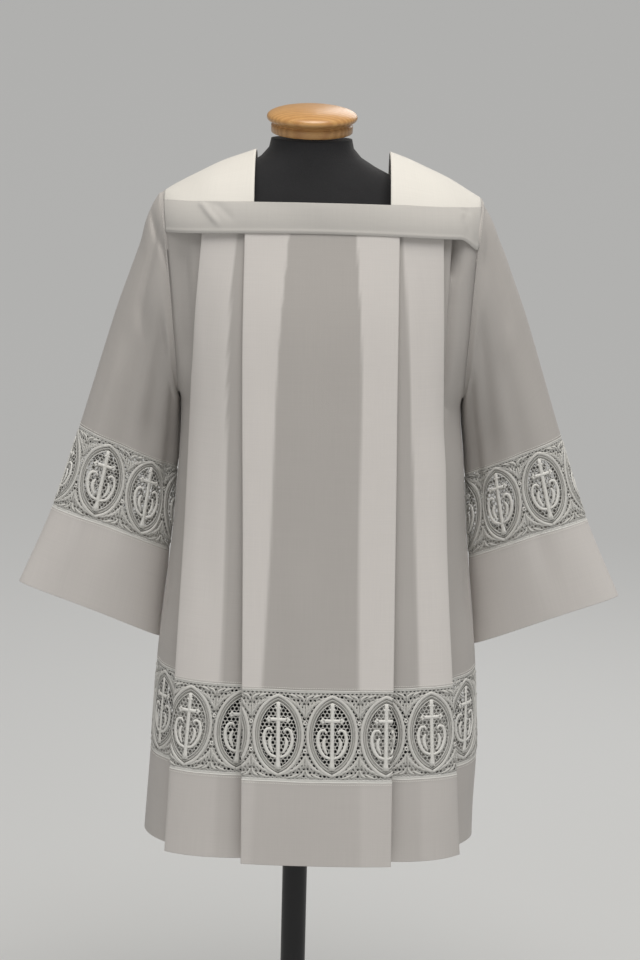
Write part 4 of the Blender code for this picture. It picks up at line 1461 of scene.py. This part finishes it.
def band_of_lace(name, repeat, surface, lengths, pitch, level, seam):
    """The lengths of lace, each trimmed to its own flat ends, and their flat area. Metres.

    The seam is how far out the flat lace ends at its side seams. It is None on a tube.
    """
    joined = bmesh.new()
    area = 0.0
    for length in lengths:
        cut = length_of_lace(repeat, length, pitch)
        area += sum(face.calc_area() for face in cut.faces)
        part = finished_mesh("length", cut)
        joined.from_mesh(part)
        bpy.data.meshes.remove(part)
    mesh = finished_mesh(name, joined)
    flat = points_of(mesh)
    levels = level(flat[:, 1])
    across = surface.reach(flat[:, 0], levels, seam) if seam else flat[:, 0]
    mesh.vertices.foreach_set("co", surface.place(across, levels, flat[:, 2]).ravel())
    mesh.update()
    mesh.shade_smooth()
    return mesh, area


def lace_half(surface):
    """Half a hem lace's flat length, where the cloth is narrowest, and the cloth's rows there."""
    rows = (surface.levels > LACE_FOOT) & (surface.levels < LACE_TOP)
    return float(np.abs(surface.along[rows][:, [0, -1]]).min()), surface.along[rows]


lace = {}
lace_cuts = {}  # each length's width and height in metres, and its thread's flat area


def add_lace(node, surface, lengths, pitch, level, seam=None):
    parts = []
    for kind, repeat in (("net", net_repeat), ("cords", cord_repeat)):
        name = f"{node}_{kind}"
        mesh, area = band_of_lace(name, repeat, surface, lengths, pitch, level, seam)
        piece = add_piece(name, mesh, lace_thread)
        thicken(piece, NET_THICK if kind == "net" else CORD_THICK)
        parts.append(piece)
        if kind == "net":
            width = lengths[-1].end - lengths[0].start
            lace_cuts[node] = (width, LACE * MM, area)
    lace[node] = parts
    faces = [len(part.data.polygons) for part in parts]
    cut = lengths[-1].end - lengths[0].start
    print(f"{node}: {cut / pitch:.2f} repeats, {faces} faces of net and cord")


def hem_level(v):
    return LACE_FOOT + v * (LACE_TOP - LACE_FOOT) / (LACE * MM)


def sleeve_level(v):
    """A sleeve's lace lies between its sections 1 and 2."""
    return 1 + v / (LACE * MM)


# The front's lace is in five lengths. Their joins lie out of sight on the underlays of the pleats.
# The medallions come between the pleats as they do on the real one, within a few millimetres.
# The places are flat ones, in millimetres.
HEM_PITCH = 0.0735
HEM_JOINS = {"front": (-300, -118, 129, 322), "back": ()}
HEM_MEDALLIONS = {"front": (-458, -163, -53, 258, 452), "back": (-40,)}
for side, surface in (("front", front), ("back", back)):
    half, rows_of_lace = lace_half(surface)
    ends = (-half, *(join * MM for join in HEM_JOINS[side]), half)
    starts = [place * MM for place in HEM_MEDALLIONS[side]]
    lengths = [LaceLength(*row) for row in zip(ends, ends[1:], starts)]
    add_lace(f"{side}_hem_lace", surface, lengths, HEM_PITCH, hem_level, half)
    widest = float(np.ptp(rows_of_lace, axis=1).max())
    lace_cuts[f"{side}_hem_lace"] = (widest, *lace_cuts[f"{side}_hem_lace"][1:])

SLEEVE_REPEATS = 6
for side, hand, from_edge in (("left", 1, 0.069), ("right", -1, 0.081)):
    surface, girth = sleeves[hand]
    phase = girth - from_edge if hand > 0 else from_edge
    lengths = [LaceLength(0, girth, phase)]
    add_lace(f"{side}_sleeve_lace", surface, lengths, girth / SLEEVE_REPEATS, sleeve_level)

# %% [markdown]
# ## Stitches
#
# A machine stitch is a short thread that sinks at both ends. Each is one small `create_cube`, and
# a row of them follows the flat cloth before it is hung, so the rows bend with the folds. The
# lace is sewn on along both headings, and each sleeve is topstitched beside its armhole.

# %% Rows of stitches
STITCH_STEP = 0.0031
STITCH_LONG, STITCH_WIDE, STITCH_THICK = 0.0023, 0.0005, 0.0004
OFF_LACE = 0.0022  # how far a row runs from the lace's edge
OFF_ARMHOLE = 0.009
SHORT_OF_SEAM = 0.004  # how far from the side seams the rows round the hem start and end


def stitch_row(bm, start, end, level, up_scale=1.0):
    """Stitches between two flat places, all at one level. up_scale is levels per metre."""
    count = int((end - start) / STITCH_STEP)
    for place in np.linspace(start, end, count, endpoint=False):
        size = Matrix.Diagonal((STITCH_LONG, STITCH_WIDE * up_scale, STITCH_THICK, 1))
        middle = Matrix.Translation((place + STITCH_STEP / 2, level, 0))
        bmesh.ops.create_cube(bm, size=1, matrix=middle @ size)


def add_stitches(name, surface, rows, lift, up_scale=1.0, seam=None):
    bm = bmesh.new()
    for start, end, level in rows:
        stitch_row(bm, start, end, level, up_scale)
    mesh = finished_mesh(name, bm)
    flat = points_of(mesh)
    across = surface.reach(flat[:, 0], flat[:, 1], seam) if seam else flat[:, 0]
    points = surface.place(across, flat[:, 1], flat[:, 2] + lift)
    mesh.vertices.foreach_set("co", points.ravel())
    # Tone 1: the stitches get none of the painted shade.
    tones = mesh.attributes.new("painted_shade_tone", "FLOAT", "POINT")
    tones.data.foreach_set("value", np.ones(len(mesh.vertices)))
    mesh.attributes.new("thread", "FLOAT_VECTOR", "POINT")
    mesh.update()
    piece = add_piece(name, mesh, lace_thread)
    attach(piece, "root")
    return piece


ON_CLOTH = CLOTH / 2 + 0.0002
stitches = {}
for side, surface in (("front", front), ("back", back)):
    half = lace_half(surface)[0] - SHORT_OF_SEAM
    rows = [(-half, half, LACE_TOP + OFF_LACE), (-half, half, LACE_FOOT - OFF_LACE)]
    name = f"{side}_lace_stitches"
    stitches[side] = add_stitches(name, surface, rows, ON_CLOTH, seam=half + SHORT_OF_SEAM)
for side, hand in (("left", 1), ("right", -1)):
    surface, girth = sleeves[hand]
    top = len(SLEEVE_RINGS)
    per_metre = 1 / SLEEVE_METRES
    rows = [
        (0, girth, 2 + OFF_LACE * per_metre),
        (0, girth, 1 - OFF_LACE * per_metre),
        (0, girth, top - OFF_ARMHOLE * per_metre),
    ]
    stitches[side] = add_stitches(f"{side}_sleeve_stitches", surface, rows, ON_CLOTH, per_metre)
print("stitches:", [len(piece.data.polygons) // 6 for piece in stitches.values()])

# %% [markdown]
# ## The stage, the light and the camera
#
# A pale floor runs far back, so that nothing else is behind the garment. The main light is a sun
# lamp with a wide angle, which acts like one huge soft lamp and lights the floor evenly. Softboxes
# fill from the front and from behind. White cloth shows its folds only by gentle shading.

# %% Floor
floor_bm = bmesh.new()
bmesh.ops.create_grid(floor_bm, x_segments=2, y_segments=2, size=160)
floor_mesh = finished_mesh("floor", floor_bm)
floor_finish, _, floor_shader = new_material("pale_floor", 0.9)
floor_shader.inputs["Base Color"].default_value = (0.64, 0.64, 0.63, 1.0)
floor_mesh.materials.append(floor_finish)
floor = bpy.data.objects.new("floor", floor_mesh)
bpy.context.scene.collection.objects.link(floor)


# %% Lights
def add_softbox(name, place, aim, size, watts):
    lamp = bpy.data.lights.new(name, "AREA")
    lamp.shape = "RECTANGLE"
    lamp.size, lamp.size_y = size
    lamp.energy = watts
    softbox = bpy.data.objects.new(name, lamp)
    softbox.location = place
    softbox.rotation_euler = (Vector(aim) - Vector(place)).to_track_quat("-Z", "Y").to_euler()
    bpy.context.scene.collection.objects.link(softbox)
    return softbox


sun = bpy.data.lights.new("main", "SUN")
sun.energy = 1.82
sun.angle = math.radians(38)
main_light = bpy.data.objects.new("main", sun)
main_light.rotation_euler = Vector((-0.08, 0.44, -0.89)).to_track_quat("-Z", "Y").to_euler()
bpy.context.scene.collection.objects.link(main_light)
add_softbox("front", (-1.4, -3.2, 1.7), (0, 0, 1.0), (1.6, 1.6), 3)
above = add_softbox("above", (0.1, -0.5, 3.2), (0, 0, 1.2), (1.3, 1.1), 12.5)
above.data.color = (1.0, 0.94, 0.82)
add_softbox("behind", (1.0, 2.8, 2.8), (0, 0, 1.1), (1.8, 1.8), 20)
world = bpy.data.worlds.new("studio")
world.use_nodes = True
world.node_tree.nodes["Background"].inputs["Color"].default_value = (1.0, 0.985, 0.96, 1.0)
world.node_tree.nodes["Background"].inputs["Strength"].default_value = 0.18
bpy.context.scene.world = world
bpy.context.scene.view_settings.view_transform = "Standard"

# %% Camera
ELEVATION = math.radians(11)
ROLL = math.radians(1.4)
DISTANCE = 4.0
ahead = Vector((0, math.cos(ELEVATION), -math.sin(ELEVATION)))
level_up = Vector((0, math.sin(ELEVATION), math.cos(ELEVATION)))
level_right = Vector((1, 0, 0))
right = math.cos(ROLL) * level_right + math.sin(ROLL) * level_up
upwards = -math.sin(ROLL) * level_right + math.cos(ROLL) * level_up
eye = Vector((0.0225, 0, 1.03)) - ahead * DISTANCE
lens = bpy.data.cameras.new("camera")
lens.lens = 108
lens.sensor_width = 36
lens.clip_end = 500
camera = bpy.data.objects.new("camera", lens)
camera.matrix_world = Matrix((right, upwards, -ahead)).transposed().to_4x4()
camera.location = eye
bpy.context.scene.collection.objects.link(camera)
bpy.context.scene.camera = camera

# %% [markdown]
# ## The cutter's sums
#
# Each sheet's size is worked out: the cloth that shows, and the pleats' underlays. A
# pleat takes twice its underlay. A sleeve is taken section by section: its girth square to its
# own middle line, times the length of that line. The lace's area is its thread's, measured flat.
# The hem lace's width is the widest row of the cloth round it.


# %% Cutting sizes
def line_length(points):
    return float(along_of(np.asarray(points))[-1])


def pleated_width(height, facing):
    total = 0.0
    for hand in (-1, 1):
        folds = FOLDS["back" if facing > 0 else "front_left" if hand > 0 else "front_right"]
        outline = quarter_outline(height, facing, hand)
        along = along_of(outline)
        end = along[-1]
        if height > UNDERARM:
            end = np.interp(-armhole_depth(height, facing), -np.abs(outline[:, 1]), along)
        crease, behind, second, under = (
            np.interp(fold_value(fold.across, height), outline[:, 0], along) for fold in folds
        )
        total += end + 2 * (crease - behind) + 2 * (second - under)
    return float(total)


def panel_cut(low_edge, high_edge, facing):
    """Widest width, height and area of a panel's cloth between two heights."""
    heights = np.linspace(low_edge, high_edge, 25)
    widths = np.array([pleated_width(height, facing) for height in heights])
    area = float(np.sum((widths[1:] + widths[:-1]) / 2 * np.diff(heights)))
    return float(widths.max()), high_edge - low_edge, area


def yoke_line(x, heights, facing):
    return [yoke_point(np.array(x), np.array(height), facing) for height in heights]


def band_cut(facing):
    along = line_length(yoke_point(np.linspace(-BAND_HALF, BAND_HALF, 121), YOKE_SEAM + BAND / 2, facing))
    up = np.linspace(YOKE_SEAM, YOKE_SEAM + BAND, 15)
    places = BAND_HALF * np.array([0.0, 0.25, 0.5, 0.75, 0.97])
    mean = np.mean([line_length(yoke_line(x, up, facing)) for x in places])
    return along, float(mean), along * float(mean)


def strap_cut():
    ridge_line = [(x, 0, ridge(x)) for x in np.linspace(NECK_HALF, SHOULDER_HALF, 31)]
    feet = [yoke_point(np.linspace(NECK_HALF, BAND_HALF, 31), YOKE_SEAM + BAND, f) for f in (-1, 1)]
    widths = [line_length(ridge_line), line_length(feet[0]), line_length(feet[1])]
    lengths = []
    for x in np.linspace(NECK_HALF, BAND_HALF, 5):
        start = math.asin(min(BAND / (ridge(x) - YOKE_SEAM), 1.0))
        up = YOKE_SEAM + (ridge(x) - YOKE_SEAM) * np.sin(np.linspace(start, math.pi / 2, 25))
        lengths.append(sum(line_length(yoke_line(x, up, facing)) for facing in (-1, 1)))
    area = float(np.mean(lengths)) * (widths[0] / 2 + widths[1] / 4 + widths[2] / 4)
    return max(widths), max(lengths), area


def ellipse_girth(a, b):
    """Ramanujan's rule for the girth of an ellipse with half axes a and b."""
    return math.pi * (3 * (a + b) - math.sqrt((3 * a + b) * (a + 3 * b)))


def sleeve_cut(first, last):
    """Widest girth, longest edge and area of a sleeve between two sections, the armhole being 0."""
    halves = [armhole_half(-1)] + [ring_half(ring, -1) for ring in SLEEVE_RINGS]
    depths = [(abs(yoke_foot(BAND_HALF, -1)) + abs(yoke_foot(BAND_HALF, 1))) / 2]
    depths += [ring.half_depth for ring in SLEEVE_RINGS]
    outer = [half[0] for half in halves]
    inner = [half[-1] for half in halves]
    girths, area, middle = [], 0.0, 0.0
    for i in range(first, last):
        axis = (outer[i + 1] + inner[i + 1] - outer[i] - inner[i]) / 2
        step = float(np.linalg.norm(axis))
        across = (outer[i] - inner[i] + outer[i + 1] - inner[i + 1]) / 2
        square = float(np.linalg.norm(np.cross(across, axis / step)))
        girths.append(ellipse_girth(square / 2, (depths[i] + depths[i + 1]) / 2))
        area += girths[-1] * step
        middle += step
    longest = max(middle, line_length(outer[first : last + 1]), line_length(inner[first : last + 1]))
    return max(girths), longest, area


# %% [markdown]
# ## The pieces on the body
#
# Each piece rides on the garment's one body, and stands for its node.

# %% Sheets, rides and replacements
upper, lower = SLEEVE_LACE_RINGS
cuts = {}
for side, surface, facing in (("front", front, -1), ("back", back, 1)):
    cuts[f"{side}_panel"] = (*panel_cut(LACE_TOP, YOKE_SEAM, facing), f"{side}_yoke_band")
    cuts[f"{side}_hem_lace"] = (*lace_cuts[f"{side}_hem_lace"], f"{side}_panel")
    cuts[f"{side}_hem_band"] = (*panel_cut(HEM, LACE_FOOT, facing), f"{side}_hem_lace")
    cuts[f"{side}_yoke_band"] = (*band_cut(facing), "left_strap")
for side in ("left", "right"):
    cuts[f"{side}_strap"] = (*strap_cut(), "form_skin")
    cuts[f"{side}_sleeve"] = (*sleeve_cut(0, upper), f"{side}_strap")
    cuts[f"{side}_sleeve_lace"] = (*lace_cuts[f"{side}_sleeve_lace"], f"{side}_sleeve")
    cuts[f"{side}_cuff"] = (*sleeve_cut(lower, len(SLEEVE_RINGS)), f"{side}_sleeve_lace")

for node, (width, tall, area, rest) in cuts.items():
    print(f"{node}: cut {width:.3f} x {tall:.3f} m, {area:.4f} square metres")

for node, piece in pieces.items():
    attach(piece, "root")
    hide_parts(node)
for node, parts in lace.items():
    for part in parts:
        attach(part, "root")
    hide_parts(node)
for node, piece in (*stand.items(), ("form_body", form), ("neck_cap", cap)):
    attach(piece, "root")
    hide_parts(node)
